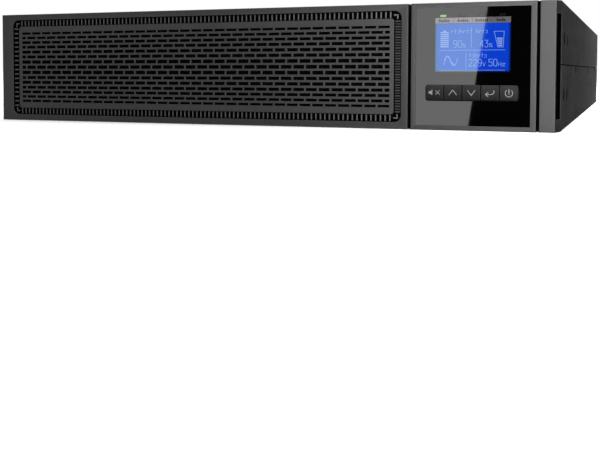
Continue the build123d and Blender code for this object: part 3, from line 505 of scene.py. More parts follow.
SURFACES = {
    "case_paint": ((0.0155, 0.0155, 0.0162), 0.55, dict(specular=0.35, grain_mm=0.7, grain=0.22,
        wear=0.3, wear_colour=(0.06, 0.06, 0.061), wear_mm=0.25)),
    # front_plastic: painted shade on what faces left or right, such as the face's sloped ends
    "front_plastic": ((0.0315, 0.0315, 0.032), 0.46, dict(grain_mm=0.3, grain=0.2, shade=0.05,
        wear=0.35, wear_colour=(0.09, 0.09, 0.09), ends=(0.004, 0.004, 0.0041))),
    # grille_paint: painted shade on the walls of the slots, dark as if in shadow
    "grille_paint": ((0.0405, 0.0405, 0.041), 0.46, dict(grain_mm=0.35, grain=0.2, shade=0.05,
        sides=(0.0025, 0.0025, 0.0026))),
    # rib_plastic: painted shade on the ribs' walls, dark as if in shadow
    "rib_plastic": ((0.085, 0.085, 0.087), 0.5, dict(shade=0.06, sides=(0.0018, 0.0018, 0.0019))),
    "gloss_black": ((0.0003, 0.0003, 0.0003), 0.018, dict(rough_spread=0.008, smudge_mm=18,
        grain_mm=25, grain=0.01, grain_depth_mm=0.01)),
    # key_plastic: painted shade, darker towards the keys' bottom where less light falls
    "key_plastic": ((0.011, 0.011, 0.0115), 0.4, dict(grain_mm=0.25, grain=0.15,
        lower=((0.0055, 0.0055, 0.0058), (21.0, 29.5)))),
    "label_film": ((0.033, 0.030, 0.0305), 0.02, dict(specular=1.0, rough_spread=0.01, shade=0.05,
        grain_mm=0.2, grain=0.02)),
    "led_lens": ((0.0022, 0.0028, 0.002), 0.03, dict(rough_spread=0.01, shade_mm=3, grain=0.01)),
    "switch_body": ((0.02, 0.02, 0.02), 0.5, {}),
    "battery_case": ((0.02, 0.021, 0.024), 0.42, dict(grain_mm=0.8, grain=0.3, wear=0.4)),
    "terminal_metal": ((0.62, 0.6, 0.54), 0.3, dict(metal=1.0)),
    "connector_grey": ((0.055, 0.055, 0.057), 0.5, dict(grain=0.2)),
    "black_plastic": ((0.013, 0.013, 0.014), 0.42, dict(grain_mm=0.3, grain=0.2, wear=0.3,
        wear_colour=(0.06, 0.06, 0.06))),
    "fan_plastic": ((0.035, 0.035, 0.037), 0.45, dict(grain_mm=0.5, grain=0.25)),
    "plated_wire": ((0.55, 0.55, 0.57), 0.32, dict(metal=1.0, shade=0.08, shade_mm=8, grain_mm=0.6,
        grain=0.05)),
    "screw_steel": ((0.42, 0.42, 0.43), 0.34, dict(metal=1.0, shade_mm=3)),
    "dark_screw": ((0.035, 0.035, 0.036), 0.36, dict(metal=0.6, shade_mm=3, wear=0.6,
        wear_colour=(0.2, 0.2, 0.2))),
    "pin_metal": ((0.66, 0.64, 0.58), 0.25, dict(metal=1.0, shade_mm=4)),
    "port_metal": ((0.32, 0.32, 0.33), 0.42, dict(metal=1.0, shade_mm=8, brushed=(1.0, 1.0, 0.1))),
    "terminal_green": ((0.015, 0.12, 0.04), 0.42, dict(grain=0.1)),
    "red_button": ((0.20, 0.012, 0.010), 0.35, dict(shade_mm=5, grain=0.1)),
    "heat_sink_metal": ((0.66, 0.66, 0.68), 0.38, dict(metal=1.0, brushed=(1.0, 0.05, 1.0),
        grain_mm=0.8)),
    "capacitor_sleeve": ((0.015, 0.025, 0.11), 0.2, dict(grain=0.05)),
    "relay_case": ((0.04, 0.04, 0.05), 0.35, {}),
    "earth_brass": ((0.7, 0.5, 0.2), 0.3, dict(metal=1.0, shade_mm=4)),
}
MATERIALS = {name: surface(name, colour, rough, **more)
             for name, (colour, rough, more) in SURFACES.items()}
MATERIALS.update({
    "filter_foam": foam("filter_foam"),
    # the screen's glow takes a painted shade towards its edges
    "lcd_glass": glowing("lcd_glass", (0.0015, 0.047, 0.60), 1.0, base=(0.0005, 0.0005, 0.001),
        rim_shade=(LCD_X, LCD_LIT_Z)),
    "circuit_board": solder_mask("circuit_board"),
    "zinc_steel": galvanised("zinc_steel", (0.42, 0.43, 0.44)),
    "choke_winding": winding("choke_winding", (0.5, 0.19, 0.05), (0.08, 0.02, 0.008), 1.4),
    "wound_core": winding("wound_core", (0.2, 0.15, 0.06), (0.05, 0.04, 0.03), 4.0),
})
LCD_SHADER = MATERIALS["lcd_glass"].node_tree.nodes["Principled BSDF"]
LCD_SHADER.inputs["Specular IOR Level"].default_value = 0.9
LCD_SHADER.inputs["Specular Tint"].default_value = (0.68, 1.0, 0.52, 1)
for part in frame["record"]["subparts"]:
    dress(NODES[part["node"]], MATERIALS[part["material_slot"]])

LEGEND = surface("legend_print", (0.12, 0.12, 0.12), 0.4, shade_mm=4, shade=0.06)
LCD_MARK = glowing("lcd_mark", (0.27, 0.45, 0.93), 0.8, shade_mm=3)
LABEL_INK = surface("label_ink", (0.006, 0.004, 0.0045), 0.03, rough_spread=0.01, shade_mm=3,
                    shade=0.2, grain=0.02)
LAMP_LIT = glowing("lamp_lit", (0.20, 0.40, 0.17), 1.0, base=(0.02, 0.04, 0.02), shade_mm=3)


# ---------------------------------------------------------------- edges of the CAD nodes

for node, width in {
    "front_bezel": 0.25, "front_frame": 0.25, "display_frame": 0.25, "top_cover": 0.15,
    "chassis_base": 0.15, "outlet_banks": 0.25, "rear_panel": 0.2, "battery_tray": 0.2,
    "batteries": 0.8, "display_back_cover": 0.3, "mains_inlet": 0.25, "breaker_body": 0.25,
    "breaker_button": 0.4, "dc_connector": 0.25, "usb_port": 0.15, "serial_port": 0.2,
    "network_ports": 0.15, "epo_terminal": 0.2, "card_slot_cover": 0.3, "case_screws": 0.2,
    "tray_connector": 0.3, "fan_frames": 0.3, "earth_stud": 0.2, "battery_hold_down": 0.2,
    "thumb_screw_left": 0.3, "thumb_screw_right": 0.3, "bypass_relays": 0.6,
}.items():
    soft_edges(node, width)


# ---------------------------------------------------------------- the display's picture

LCD_FRONT = span("lcd_screen")[1][0]
STROKE = 0.32
HAIR = 0.002


def on_lcd(u, v):
    """A point of the screen, from fractions of its width from the left and its height from the top."""
    return (LCD_X[0] + u * (LCD_X[1] - LCD_X[0]), LCD_Z[1] - v * (LCD_Z[1] - LCD_Z[0]))


def lcd_line(*points, width):
    return ribbon([on_lcd(u, v) for u, v in points], width)


def lcd_bars(points, width):
    """One bar for each straight part of a path, each a little long so that the corners close."""
    bars = []
    path = [Vector(on_lcd(u, v)) for u, v in points]
    for start, end in zip(path, path[1:]):
        more = (end - start).normalized() * width * 0.42
        bars.append(ribbon([tuple(start - more), tuple(end + more)], width))
    return bars


def lcd_bar(u, v):
    (x0, z1), (x1, z0) = on_lcd(u[0], v[0]), on_lcd(u[1], v[1])
    return box_loop((x0, x1), (z0, z1))


STROKES = {
    "0": [[(0.2, 1), (0.8, 1), (1, 0.8), (1, 0.2), (0.8, 0), (0.2, 0), (0, 0.2), (0, 0.8), (0.2, 1)]],
    "2": [[(0, 0.8), (0.2, 1), (0.8, 1), (1, 0.8), (1, 0.6), (0, 0), (1, 0)]],
    "3": [[(0, 1), (1, 1), (0.45, 0.6), (0.8, 0.6), (1, 0.42), (1, 0.18), (0.8, 0), (0.2, 0),
           (0, 0.15)]],
    "4": [[(0.75, 0), (0.75, 1), (0, 0.3), (1.05, 0.3)]],
    "5": [[(1, 1), (0.05, 1), (0.0, 0.58), (0.75, 0.6), (1, 0.42), (1, 0.18), (0.8, 0), (0.2, 0),
           (0, 0.15)]],
    "9": [[(1, 0.45), (0.2, 0.45), (0, 0.62), (0, 0.85), (0.2, 1), (0.8, 1), (1, 0.85), (1, 0.3),
           (0.7, 0), (0.25, 0)]],
    "%": [[(0, 0), (1, 1)], [(0.0, 0.95), (0.3, 0.95), (0.3, 0.7), (0.0, 0.7), (0.0, 0.95)],
          [(0.7, 0.3), (1.0, 0.3), (1.0, 0.05), (0.7, 0.05), (0.7, 0.3)]],
    "V": [[(0, 1), (0.5, 0), (1, 1)]],
    "H": [[(0, 0), (0, 1)], [(1, 0), (1, 1)], [(0, 0.5), (1, 0.5)]],
    "z": [[(0, 0.7), (1, 0.7), (0, 0), (1, 0)]],
}


def lcd_text(text, u, v, big):
    """Characters with their lower left corner at u, v: the first few big, and the unit small."""
    size, pitch = (0.045, 0.14), 0.062
    loops = []
    for i, character in enumerate(text):
        wide, high = size if i < big else (size[0] * 0.8, size[1] * 0.55)
        for path in STROKES[character]:
            points = [(u + a * wide, v - b * high) for a, b in path]
            loops += lcd_bars(points, STROKE * (1.0 if i < big else 0.8))
        u += pitch * (1.0 if i < big else 0.82)
    return loops


SCRIBBLES = (
    [[(0, 0), (0, 1)], [(0, 0.5), (1, 0.5)], [(1, 0.5), (1, 0)]],
    [[(0, 0.6), (1, 0.6)], [(1, 0.6), (1, 0)], [(0, 0), (0.6, 0)]],
    [[(0.5, 0.9), (0.5, 0)], [(0.1, 0.6), (0.9, 0.6)]],
    [[(0, 0.6), (0, 0)], [(0, 0.6), (0.8, 0.6)], [(0.8, 0.6), (0.8, 0.3)]],
)


def greeked(u, v, count):
    """A word too small to read: strokes that look like letters and are none."""
    tall, wide, pitch, stroke = 0.09, 0.026, 0.040, 0.24
    loops = []
    for i in range(count):
        for path in SCRIBBLES[(i * 3 + count) % len(SCRIBBLES)]:
            points = [(u + i * pitch + a * wide, v - b * tall) for a, b in path]
            loops += lcd_bars(points, stroke)
    return loops


def battery_mark():
    loops = []
    for i in range(8):
        top = 0.17 + i * 0.042
        loops.append(lcd_bar((0.075, 0.185), (top, top + 0.024)))
    return loops + [lcd_bar((0.11, 0.15), (0.14, 0.165))]


def beaker_mark():
    loops = lcd_bars([(0.785, 0.17), (0.915, 0.17), (0.905, 0.49), (0.835, 0.49), (0.785, 0.17)], 0.28)
    for i in range(5):
        top = 0.30 + i * 0.038
        loops.append(lcd_bar((0.82 + i * 0.005, 0.895 - i * 0.001), (top, top + 0.022)))
    return loops


def wave_mark():
    wave = [(0.13 + 0.0075 * i, 0.77 - 0.10 * math.sin(2 * math.pi * i / 22)) for i in range(18)]
    arrow = lcd_bars([(0.31, 0.72), (0.275, 0.87), (0.225, 0.80)], 0.36)
    return [lcd_line(*wave, width=0.5)] + arrow + lcd_bars([(0.12, 0.86), (0.15, 0.70)], 0.3)


def lcd_picture():
    """The screen's outlines: pictograms, numbers, rules and words without meaning."""
    loops = battery_mark()
    loops += greeked(0.22, 0.20, 7) + greeked(0.55, 0.20, 4) + greeked(0.46, 0.70, 6)
    loops += lcd_text("90%", 0.25, 0.49, big=2) + lcd_text("43%", 0.60, 0.49, big=2)
    loops += lcd_text("229V", 0.455, 0.88, big=3) + lcd_text("50Hz", 0.72, 0.88, big=2)
    rules = (((0.487, 0.08), (0.487, 0.50), 0.26), ((0.06, 0.55), (0.93, 0.55), 0.26),
             ((0.42, 0.60), (0.42, 0.93), 0.26), ((0.06, 0.965), (0.93, 0.965), 0.22))
    loops += [lcd_line(start, end, width=width) for start, end, width in rules]
    return loops + beaker_mark() + wave_mark()


PICTURE = new_piece("lcd_picture", marks_mesh("lcd_picture", lcd_picture(),
                                              (LCD_FRONT - 0.05, LCD_FRONT + 0.02), HAIR),
                    LCD_MARK, "display")


def label_print():
    """Four words too small to read on the strip over the screen, with a rule between each two."""
    x, depth, z = span("label_strip")
    word_lengths, pitch, stroke = (6, 6, 7, 5), 1.2, 0.85
    quarter = (x[1] - x[0]) / 4
    foot = z[0] + 1.0
    loops = []
    for i, letters in enumerate(word_lengths):
        left = x[0] + i * quarter
        start = left + quarter / 2 - letters * pitch / 2
        for k in range(letters):
            high = 1.9 if k % 3 == 0 else 1.35
            at = start + k * pitch
            loops.append(box_loop((at, at + stroke), (foot, foot + high)))
        if i:
            loops.append(box_loop((left - 0.1, left + 0.1), (z[0] + 0.8, z[1] - 0.8)))
    return marks_mesh("label_print", loops, (depth[0] - 0.04, depth[0] + 0.02))


LABELS = new_piece("label_print", label_print(), LABEL_INK, "display")


# ---------------------------------------------------------------- the channel round the grille

RING_X, RING_Z = (-205.4, 115.6), (4.9, 81.7)  # the channel's outer wall
RING_ROUND = 5.0
INNER_X, _, INNER_Z = span("grille_plate")


def channel_shade_lining():
    """A thin black lining on the channel's walls: painted shade, for the shadow in the channel."""
    outer = rounded(grown(RING_X, 0.02), grown(RING_Z, 0.02), RING_ROUND, 8)
    inner = rounded(grown(RING_X, -0.14), grown(RING_Z, -0.14), RING_ROUND - 0.14, 8)
    return plate_mesh("channel_shade_lining", outer, [inner], (0.25, 2.95))


# each slot row's distance from the middle row, and its height
SLOT_OFFSETS = (0.0, 4.2, 8.35, 12.3, 16.3, 20.05, 23.8, 27.4)
SLOT_HEIGHTS = (2.75, 2.75, 2.4, 2.4, 2.3, 2.15, 2.0, 1.82)
SLOTS, SLOT_PITCH, SLOT_GAP = 32, 9.55, 1.4


def slot_row(row):
    """One row of slots, counted from the middle one: its z limits, and the x of all slot ends."""
    middle = sum(INNER_Z) / 2 + math.copysign(SLOT_OFFSETS[abs(row)], row)
    half = SLOT_HEIGHTS[abs(row)] / 2
    low = sum(INNER_X) / 2 - (SLOTS * SLOT_PITCH - SLOT_GAP) / 2
    high = low + SLOTS * SLOT_PITCH - SLOT_GAP
    shift = SLOT_PITCH / 2 if row % 2 == 0 else 0.0
    shortest = 1.0
    ends = []
    for i in range(-1, SLOTS + 1):
        start = low + shift + i * SLOT_PITCH
        slot = (max(start, low), min(start + SLOT_PITCH - SLOT_GAP, high))
        if slot[1] - slot[0] > shortest:
            ends += slot
    return (middle - half, middle + half), ends


def grille_face():
    """The grille plate, whose rows of slots are narrower and closer towards its top and bottom."""
    front, back, rim_back, wall, rim_overlap = 0.4, 2.4, 3.0, 1.2, 0.1
    outline = rounded(INNER_X, INNER_Z, 2.0)
    quarter = len(outline) // 4
    bm = bmesh.new()
    edge = [bm.verts.new((x, front, z)) for x, z in outline[-quarter:] + outline[:quarter]]
    last = len(SLOT_OFFSETS) - 1
    for row in range(-last, last + 1):
        z, ends = slot_row(row)
        xs = [INNER_X[0]] + ends + [INNER_X[1]]
        lower, upper = ([bm.verts.new((x, front, level)) for x in xs] for level in z)
        bm.faces.new(edge + lower[::-1])
        for i in range(0, len(xs), 2):
            bm.faces.new((lower[i], lower[i + 1], upper[i + 1], upper[i]))
        edge = upper
    bm.faces.new(edge + [bm.verts.new((x, front, z)) for x, z in outline[quarter:-quarter]])
    made = bmesh.ops.extrude_face_region(bm, geom=list(bm.faces), use_keep_orig=True)["geom"]
    rear = [v for v in made if isinstance(v, bmesh.types.BMVert)]
    bmesh.ops.translate(bm, vec=(0, back - front, 0), verts=rear)
    inside = rounded(grown(INNER_X, -wall), grown(INNER_Z, -wall), 0.8)
    rim = plate_mesh("rim", outline, [inside], (back - rim_overlap, rim_back))
    return joined("grille_face", [finished(bm, "face"), rim])


FACE = new_piece("grille_face", grille_face(), MATERIALS["grille_paint"], "bezel")
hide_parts("grille_plate")
# painted shade: a near-black colour for what lies in shadow in the channel
CHANNEL_SHADE = surface("painted_channel_shade", (0.002, 0.002, 0.002), 0.6, specular=0.2, grain=0.2)
# painted shade: a near-black colour for seams, holes and recesses that lie in shadow
SHADE_BLACK = surface("painted_shade_black", (0.0003, 0.0003, 0.0003), 0.95, specular=0.02,
                       rough_spread=0.04, grain_mm=0.6, grain=0.2)
new_piece("channel_shade_lining", channel_shade_lining(), CHANNEL_SHADE, "bezel")


def rib_places(limits, inner, pitch, count):
    """The middles of the ribs along one side of the channel that lie beside the plate."""
    middles = [sum(limits) / 2 + (i - (count - 1) / 2) * pitch for i in range(count)]
    low, high = grown(inner, 0.5)
    return [at for at in middles if low < at < high]


def corner_ribs():
    """The two arms of the L-shaped rib in each corner of the channel."""
    inset, long, thick, overlap = 2.3, 3.4, 1.1, 0.3
    bars = []
    for sx, x in ((1, RING_X[0]), (-1, RING_X[1])):
        for sz, z in ((1, RING_Z[0]), (-1, RING_Z[1])):
            cx, cz = x + sx * inset, z + sz * inset
            bars.append((sorted((cx, cx + sx * long)), sorted((cz, cz + sz * thick))))
            bars.append((sorted((cx, cx + sx * thick)),
                         sorted((cz + sz * (thick - overlap), cz + sz * long))))
    return bars


def rib_bars():
    """The ribs above, below and left of the plate, and those right of it with finer ones between."""
    pitch_x, pitch_z, half, fine_half = 3.355, 3.67, 1.15 / 2, 0.4
    bars, column = [], []
    for x in rib_places(RING_X, INNER_X, pitch_x, 94):
        bars.append(((x - half, x + half), (RING_Z[0] + 0.5, INNER_Z[0] - 0.3)))
        bars.append(((x - half, x + half), (INNER_Z[1] + 0.3, RING_Z[1] - 0.5)))
    across = (INNER_X[1] + 0.6, RING_X[1] - 0.4)
    for z in rib_places(RING_Z, INNER_Z, pitch_z, 20):
        bars.append(((RING_X[0] + 0.5, INNER_X[0] - 1.2), (z - half, z + half)))
        column.append((across, (z - half, z + half)))
        column.append((across, (z + pitch_z / 2 - fine_half, z + pitch_z / 2 + fine_half)))
    return bars + corner_ribs(), column[:-1]


def bars_mesh(name, bars):
    """Upright bars in the channel, from their x and z limits, with bevelled edges."""
    depth, bevel = (1.0, 4.9), 0.2
    bm = bmesh.new()
    for x, z in bars:
        edges = {e for v in add_block(bm, x, depth, z) for e in v.link_edges}
        bmesh.ops.bevel(bm, geom=list(edges), offset=bevel, segments=1, affect="EDGES", profile=0.6)
    return finished(bm, name)


RIB_BARS, RIGHT_BARS = rib_bars()
RIBS = new_piece("grille_ribs", bars_mesh("grille_ribs", RIB_BARS), MATERIALS["rib_plastic"],
                 "bezel")
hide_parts("rib_ring")
# painted shade: a darker copy of the rib plastic for the ribs right of the plate, where the key light
# falls strongest
SHADED_RIGHT_RIB = surface("shaded_right_rib", (0.034, 0.034, 0.035), 0.5, shade=0.06,
                    sides=(0.0018, 0.0018, 0.0019))
new_piece("grille_ribs_right", bars_mesh("grille_ribs_right", RIGHT_BARS), SHADED_RIGHT_RIB, "bezel")


def rib_shade_backing():
    """A black frame behind the ribs: painted shade, so the gaps between them look shadowed."""
    outer = rounded(grown(RING_X, 0.9), grown(RING_Z, 0.9), RING_ROUND, 8)
    window = box_loop(grown(INNER_X, -2.5), grown(INNER_Z, -2.5))
    return plate_mesh("rib_shade_backing", outer, [window], (4.8, 5.35), 0.1)


new_piece("rib_shade_backing", rib_shade_backing(), CHANNEL_SHADE, "bezel")


# ---------------------------------------------------------------- painted shade in the case's seams, holes and recesses

def seam_shade():
    """Black strips filling each seam and notch of the case's sides almost to the skin: painted shade.
    """
    base, cover = span("chassis_base"), span("top_cover")
    sheet, thick = 1.2, 1.12
    low, high = 44.0, cover[2][0]
    notch_depths, notch_half, notch_high = (176.0, 387.0, 568.0), 4.02, 5.52
    inside = base[0][1] - sheet
    bm = bmesh.new()
    for side in (-1, 1):
        x = sorted((side * inside, side * (inside + thick)))
        add_block(bm, x, (base[1][0] + 3, base[1][1] - 21), (low - 0.02, high + 0.02))
        for depth in notch_depths:
            add_block(bm, x, (depth - notch_half, depth + notch_half), (low - notch_high, low - 0.01))
    return finished(bm, "seam_shade")


new_piece("seam_shade", seam_shade(), SHADE_BLACK, "chassis")


def ear_hole_shade():
    """Black cups in the countersinks of the rack-ear holes in the case's sides: painted shade."""
    hole_depths, hole_heights = (37.0, 70.0), (24.25, 62.35)
    half = span("chassis_base")[0][1]
    # how far in from the skin, and the radius there, round the cup's wall
    profile = ((0.04, 4.66), (1.97, 2.08), (4.4, 1.97), (4.4, 1.85), (1.9, 1.95), (0.04, 4.5))
    bm = bmesh.new()
    for side in (-1, 1):
        for depth in hole_depths:
            for z in hole_heights:
                bridge(bm, [[bm.verts.new((side * (half - deep), y, up))
                             for y, up in circle_loop(depth, z, radius, 28)]
                            for deep, radius in profile], closed=True)
    return finished(bm, "ear_hole_shade")


new_piece("ear_hole_shade", ear_hole_shade(), SHADE_BLACK, "chassis")


def recess_shade():
    """Black sheets at the bottom of the slit beside the display and of the two finger recesses:
    painted shade.
    """
    frame_left, recess_x, recess_z = 206.4, (208.4, 218.5), (8.7, 77.8)
    bm = bmesh.new()
    add_block(bm, (span("display_frame")[0][1] + 0.15, frame_left - 0.02), (2.4, 8.98), (0.9, 85.6))
    for side in (-1, 1):
        add_block(bm, sorted(side * x for x in recess_x), (10.3, 10.48), recess_z)
    return finished(bm, "recess_shade")


new_piece("recess_shade", recess_shade(), SHADE_BLACK, "chassis")


# ---------------------------------------------------------------- lamps and keys

def lamps():
    x, depth, z = span("status_leds")
    count, wide = 4, 4.0
    pitch = (x[1] - x[0] - wide) / (count - 1)
    made = []
    for i in range(count):
        left = x[0] + i * pitch
        loop = rounded((left, left + wide), z, 0.4)
        mesh = plate_mesh(f"status_lamp_{i + 1}", loop, [], depth, 0.04, 1)
        material = LAMP_LIT if i == 0 else MATERIALS["led_lens"]
        made.append(new_piece(f"status_lamp_{i + 1}", mesh, material, "display"))
    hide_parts("status_leds")
    return made


LAMPS = lamps()


def key_symbols(x, z):
    """The symbol on each key as outlines round the key's middle."""
    up = [ribbon([(x - 2.6, z - 1.6), (x, z + 1.8), (x + 2.6, z - 1.6)], 0.45)]
    down = [ribbon([(x - 2.6, z + 1.7), (x, z - 1.7), (x + 2.6, z + 1.7)], 0.45)]
    bend = arc(x + 1.0, z + 0.6, 1.6, 0, -90, 10)
    enter = [ribbon([(x + 2.6, z + 1.8)] + bend + [(x - 2.6, z - 1.0)], 0.42)]
    enter += [ribbon([(x - 1.1, z + 0.5), (x - 2.9, z - 1.0), (x - 1.1, z - 2.5)], 0.42)]
    ring = [ribbon(arc(x, z - 0.1, 2.35, 125, 415, 40), 0.42)]
    power = ring + [ribbon([(x, z + 2.7), (x, z - 1.0)], 0.45)]
    speaker = [[(x - 4.0, z - 0.8), (x - 2.9, z - 0.8), (x - 1.5, z - 1.9), (x - 1.5, z + 1.9),
                (x - 2.9, z + 0.8), (x - 4.0, z + 0.8)]]
    cross = [ribbon([(x + 0.6, z - 1.4), (x + 3.4, z + 1.4)], 0.42),
             ribbon([(x + 0.6, z + 1.4), (x + 3.4, z - 1.4)], 0.42)]
    return {"escape": speaker + cross, "up": up, "down": down, "enter": enter, "power": power}


def key_cap(name):
    """A key's cap, flange and stem, and the symbol that stands just proud of the cap.

    The outer corners of the first and the last key are round."""
    body = f"key_{name}"
    x, depth, z = span(body)
    cap_z = (z[0] + 1.5, z[1] - 1.0)
    middle = (sum(x) / 2, sum(cap_z) / 2)
    front = depth[0] + 0.03
    big, small = 1.7, 0.25
    radii = (big if name == "power" else small, big if name == "escape" else small)
    cap = plate_mesh(body, rounded(x, cap_z, radii, 6), [], (front, 3.8), 0.28, 3)
    flange = plate_mesh(body, box_loop((x[0] + 0.2, x[1] - 0.2), grown(cap_z, 1)), [],
                        (3.75, 4.8), 0.1)
    stem = plate_mesh(body, circle_loop(*middle, 1.8), [], (4.7, 5.3))
    piece = new_piece(f"{body}_cap", joined(body, [cap, flange, stem]), MATERIALS["key_plastic"],
                      body)
    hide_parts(body)
    mesh = marks_mesh(f"{body}_symbol", key_symbols(*middle)[name], (depth[0], front + 0.05), HAIR)
    new_piece(f"{body}_symbol", mesh, LEGEND, body)


for name in ("escape", "up", "down", "enter", "power"):
    key_cap(name)


# ---------------------------------------------------------------- fans

FAN_CENTRES = [sum(span(f"fan_rotor_{side}")[0]) / 2 for side in ("left", "right")]
FAN_Z = sum(span("fan_rotor_left")[2]) / 2
WIRE = 1.6


def tube(bm, path, radius, closed=False, sides=10):
    """A round wire along a path of (x, depth, z) points."""
    count = len(path)
    rings = []
    for i, here in enumerate(path):
        here = Vector(here)
        before = Vector(path[i - 1]) if i or closed else here
        after = Vector(path[(i + 1) % count]) if i < count - 1 or closed else here
        along = (after - before).normalized()
        aside = along.cross(Vector((0, 1, 0)))
        aside = aside.normalized() if aside.length > 0.1 else Vector((1, 0, 0))
        over = aside.cross(along).normalized()
        rings.append([bm.verts.new(here + (aside * math.cos(a) + over * math.sin(a)) * radius)
                      for a in full_turn(sides)])
    bridge(bm, rings, closed)
    if not closed:
        bm.faces.new(rings[0])
        bm.faces.new(rings[-1][::-1])


def ring_path(x, depth, z, radius, steps=72):
    return [(at, depth, up) for at, up in circle_loop(x, z, radius, steps)]


def wire_guard():
    """Two finger guards of welded wire, with a looped eye at each screw."""
    front = span("fan_guards")[1][0]
    ring_at, spoke_at = front + WIRE / 2, front + WIRE * 1.4
    bm = bmesh.new()
    corner = 71.5 / 2
    reach = math.hypot(corner, corner)
    for x in FAN_CENTRES:
        for radius in (12.0, 20.0, 28.0, 36.0):
            tube(bm, ring_path(x, ring_at, FAN_Z, radius), WIRE / 2, True)
        for dx in (-corner, corner):
            for dz in (-corner, corner):
                spoke = [(x + dx * s / reach, spoke_at, FAN_Z + dz * s / reach)
                         for s in (10.5, 24.0, reach - 3.0)]
                tube(bm, spoke, WIRE / 2)
                eye = ring_path(x + dx, spoke_at, FAN_Z + dz, 2.9, 24)
                tube(bm, eye, WIRE / 2 - 0.05, True, 8)
    return finished(bm, "wire_guards", 60)


GUARDS = new_piece("wire_guards", wire_guard(), MATERIALS["plated_wire"], "chassis")
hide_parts("fan_guards")


def blade_point(x, start, middle, r, t, face):
    """A point of a blade's skin: r runs from its root to its tip, and t along its chord."""
    root, tip = 14.8, 36.4
    radius = root + (tip - root) * r
    sweep = 0.22 * r ** 1.4
    chord = 0.62 - 0.10 * r
    angle = start + sweep + chord * (t - 0.5)
    pitch = (0.5 - t) * 15.5 * (1 - 0.15 * r) + 1.6 * math.sin(math.pi * t)
    thick = 0.75 * (0.35 + 0.65 * math.sin(math.pi * (0.15 + 0.7 * t)))
    return (x + radius * math.cos(angle), middle + pitch + face * thick,
            FAN_Z + radius * math.sin(angle))


def blade(bm, x, start, middle):
    along, across = 8, 7
    skins = []
    for face in (-1, 1):
        grid = [[bm.verts.new(blade_point(x, start, middle, r / along, c / across, face))
                 for c in range(across + 1)] for r in range(along + 1)]
        skins.append(grid)
        for r in range(along):
            for c in range(across):
                bm.faces.new((grid[r][c], grid[r + 1][c], grid[r + 1][c + 1], grid[r][c + 1]))
    low, high = skins
    rim = [(r, 0) for r in range(along)] + [(along, c) for c in range(across)]
    rim += [(r, across) for r in range(along, 0, -1)] + [(0, c) for c in range(across, 0, -1)]
    for (r0, c0), (r1, c1) in zip(rim, rim[1:] + rim[:1]):
        bm.faces.new((low[r0][c0], low[r1][c1], high[r1][c1], high[r0][c0]))


def rotor(side, x):
    """A fan rotor: a hub with a rounded rim and seven swept, cambered blades."""
    blades, hub_length = 7, 18.7
    front, rear = span(f"fan_rotor_{side}")[1]
    hub_rear = front + hub_length
    profile = [(0, front), (12.8, front), (14.3, front + 0.5), (15.2, front + 1.6),
               (15.5, front + 3.2), (15.5, hub_rear), (1.5, hub_rear), (1.5, rear), (0, rear)]
    bm = bmesh.new()
    bridge(bm, [[bm.verts.new(point) for point in ring_path(x, at, FAN_Z, radius, 48)]
                for radius, at in profile])
    for start in full_turn(blades):
        blade(bm, x, start, (front + hub_rear) / 2)
    piece = new_piece(f"fan_{side}_rotor", finished(bm, f"fan_{side}_rotor", 40),
                      MATERIALS["fan_plastic"], f"fan_rotor_{side}")
    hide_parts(f"fan_rotor_{side}")


for side, centre in zip(("left", "right"), FAN_CENTRES):
    rotor(side, centre)


# ---------------------------------------------------------------- camera, floor and light

# From here on sizes are in metres. The camera was found from the photograph's perspective.
CAMERA_AT = Vector((0.26234, -0.98637, 0.04052))
CAMERA_DOWN, CAMERA_LEFT = 2.5, 23.299
CAMERA_LENS, CAMERA_SHIFT = 56.858, (0.125, -0.1883)


def camera():
    data = bpy.data.cameras.new("camera")
    data.sensor_width = 36.0
    data.lens = CAMERA_LENS
    data.shift_x, data.shift_y = CAMERA_SHIFT
    data.clip_start, data.clip_end = 0.005, 100
    obj = bpy.data.objects.new("camera", data)
    obj.location = CAMERA_AT
    obj.rotation_euler = (math.radians(90 - CAMERA_DOWN), 0, math.radians(CAMERA_LEFT))
    bpy.context.scene.collection.objects.link(obj)
    bpy.context.scene.camera = obj


def staged(name, corners, material):
    """A flat sheet for the stage."""
    bm = bmesh.new()
    bm.faces.new([bm.verts.new(c) for c in corners])
    mesh = bpy.data.meshes.new(name)
    bm.to_mesh(mesh)
    bm.free()
    obj = new_object(name, mesh, material)
    return obj


def area_light(name, at, towards, size, power, glossy=False):
    data = bpy.data.lights.new(name, "AREA")
    data.shape = "RECTANGLE"
    data.size, data.size_y = size
    data.energy = power
    obj = bpy.data.objects.new(name, data)
    obj.location = at
    obj.rotation_euler = (Vector(towards) - Vector(at)).to_track_quat("-Z", "Y").to_euler()
    obj.visible_camera = False
    obj.visible_glossy = glossy
    bpy.context.scene.collection.objects.link(obj)
    return obj


def world():
    """White to the camera and a dim even grey to everything that it lights."""
    made = bpy.data.worlds.new("world")
    made.use_nodes = True
    bpy.context.scene.world = made
    tree = made.node_tree
    dim, white = tree.nodes["Background"], tree.nodes.new("ShaderNodeBackground")
    for background, strength in ((dim, 0.30), (white, 1.0)):
        background.inputs["Color"].default_value = (1, 1, 1, 1)
        background.inputs["Strength"].default_value = strength
    path = tree.nodes.new("ShaderNodeLightPath")
    mix = tree.nodes.new("ShaderNodeMixShader")
    tree.links.new(path.outputs["Is Camera Ray"], mix.inputs["Fac"])
    tree.links.new(dim.outputs[0], mix.inputs[1])
    tree.links.new(white.outputs[0], mix.inputs[2])
    tree.links.new(mix.outputs[0], tree.nodes["World Output"].inputs["Surface"])


def lit_only(light, name, receivers):
    """Makes a light fall on the receivers alone."""
    group = bpy.data.collections.new(name)
    for obj in receivers:
        group.objects.link(obj)
    light.light_linking.receiver_collection = group


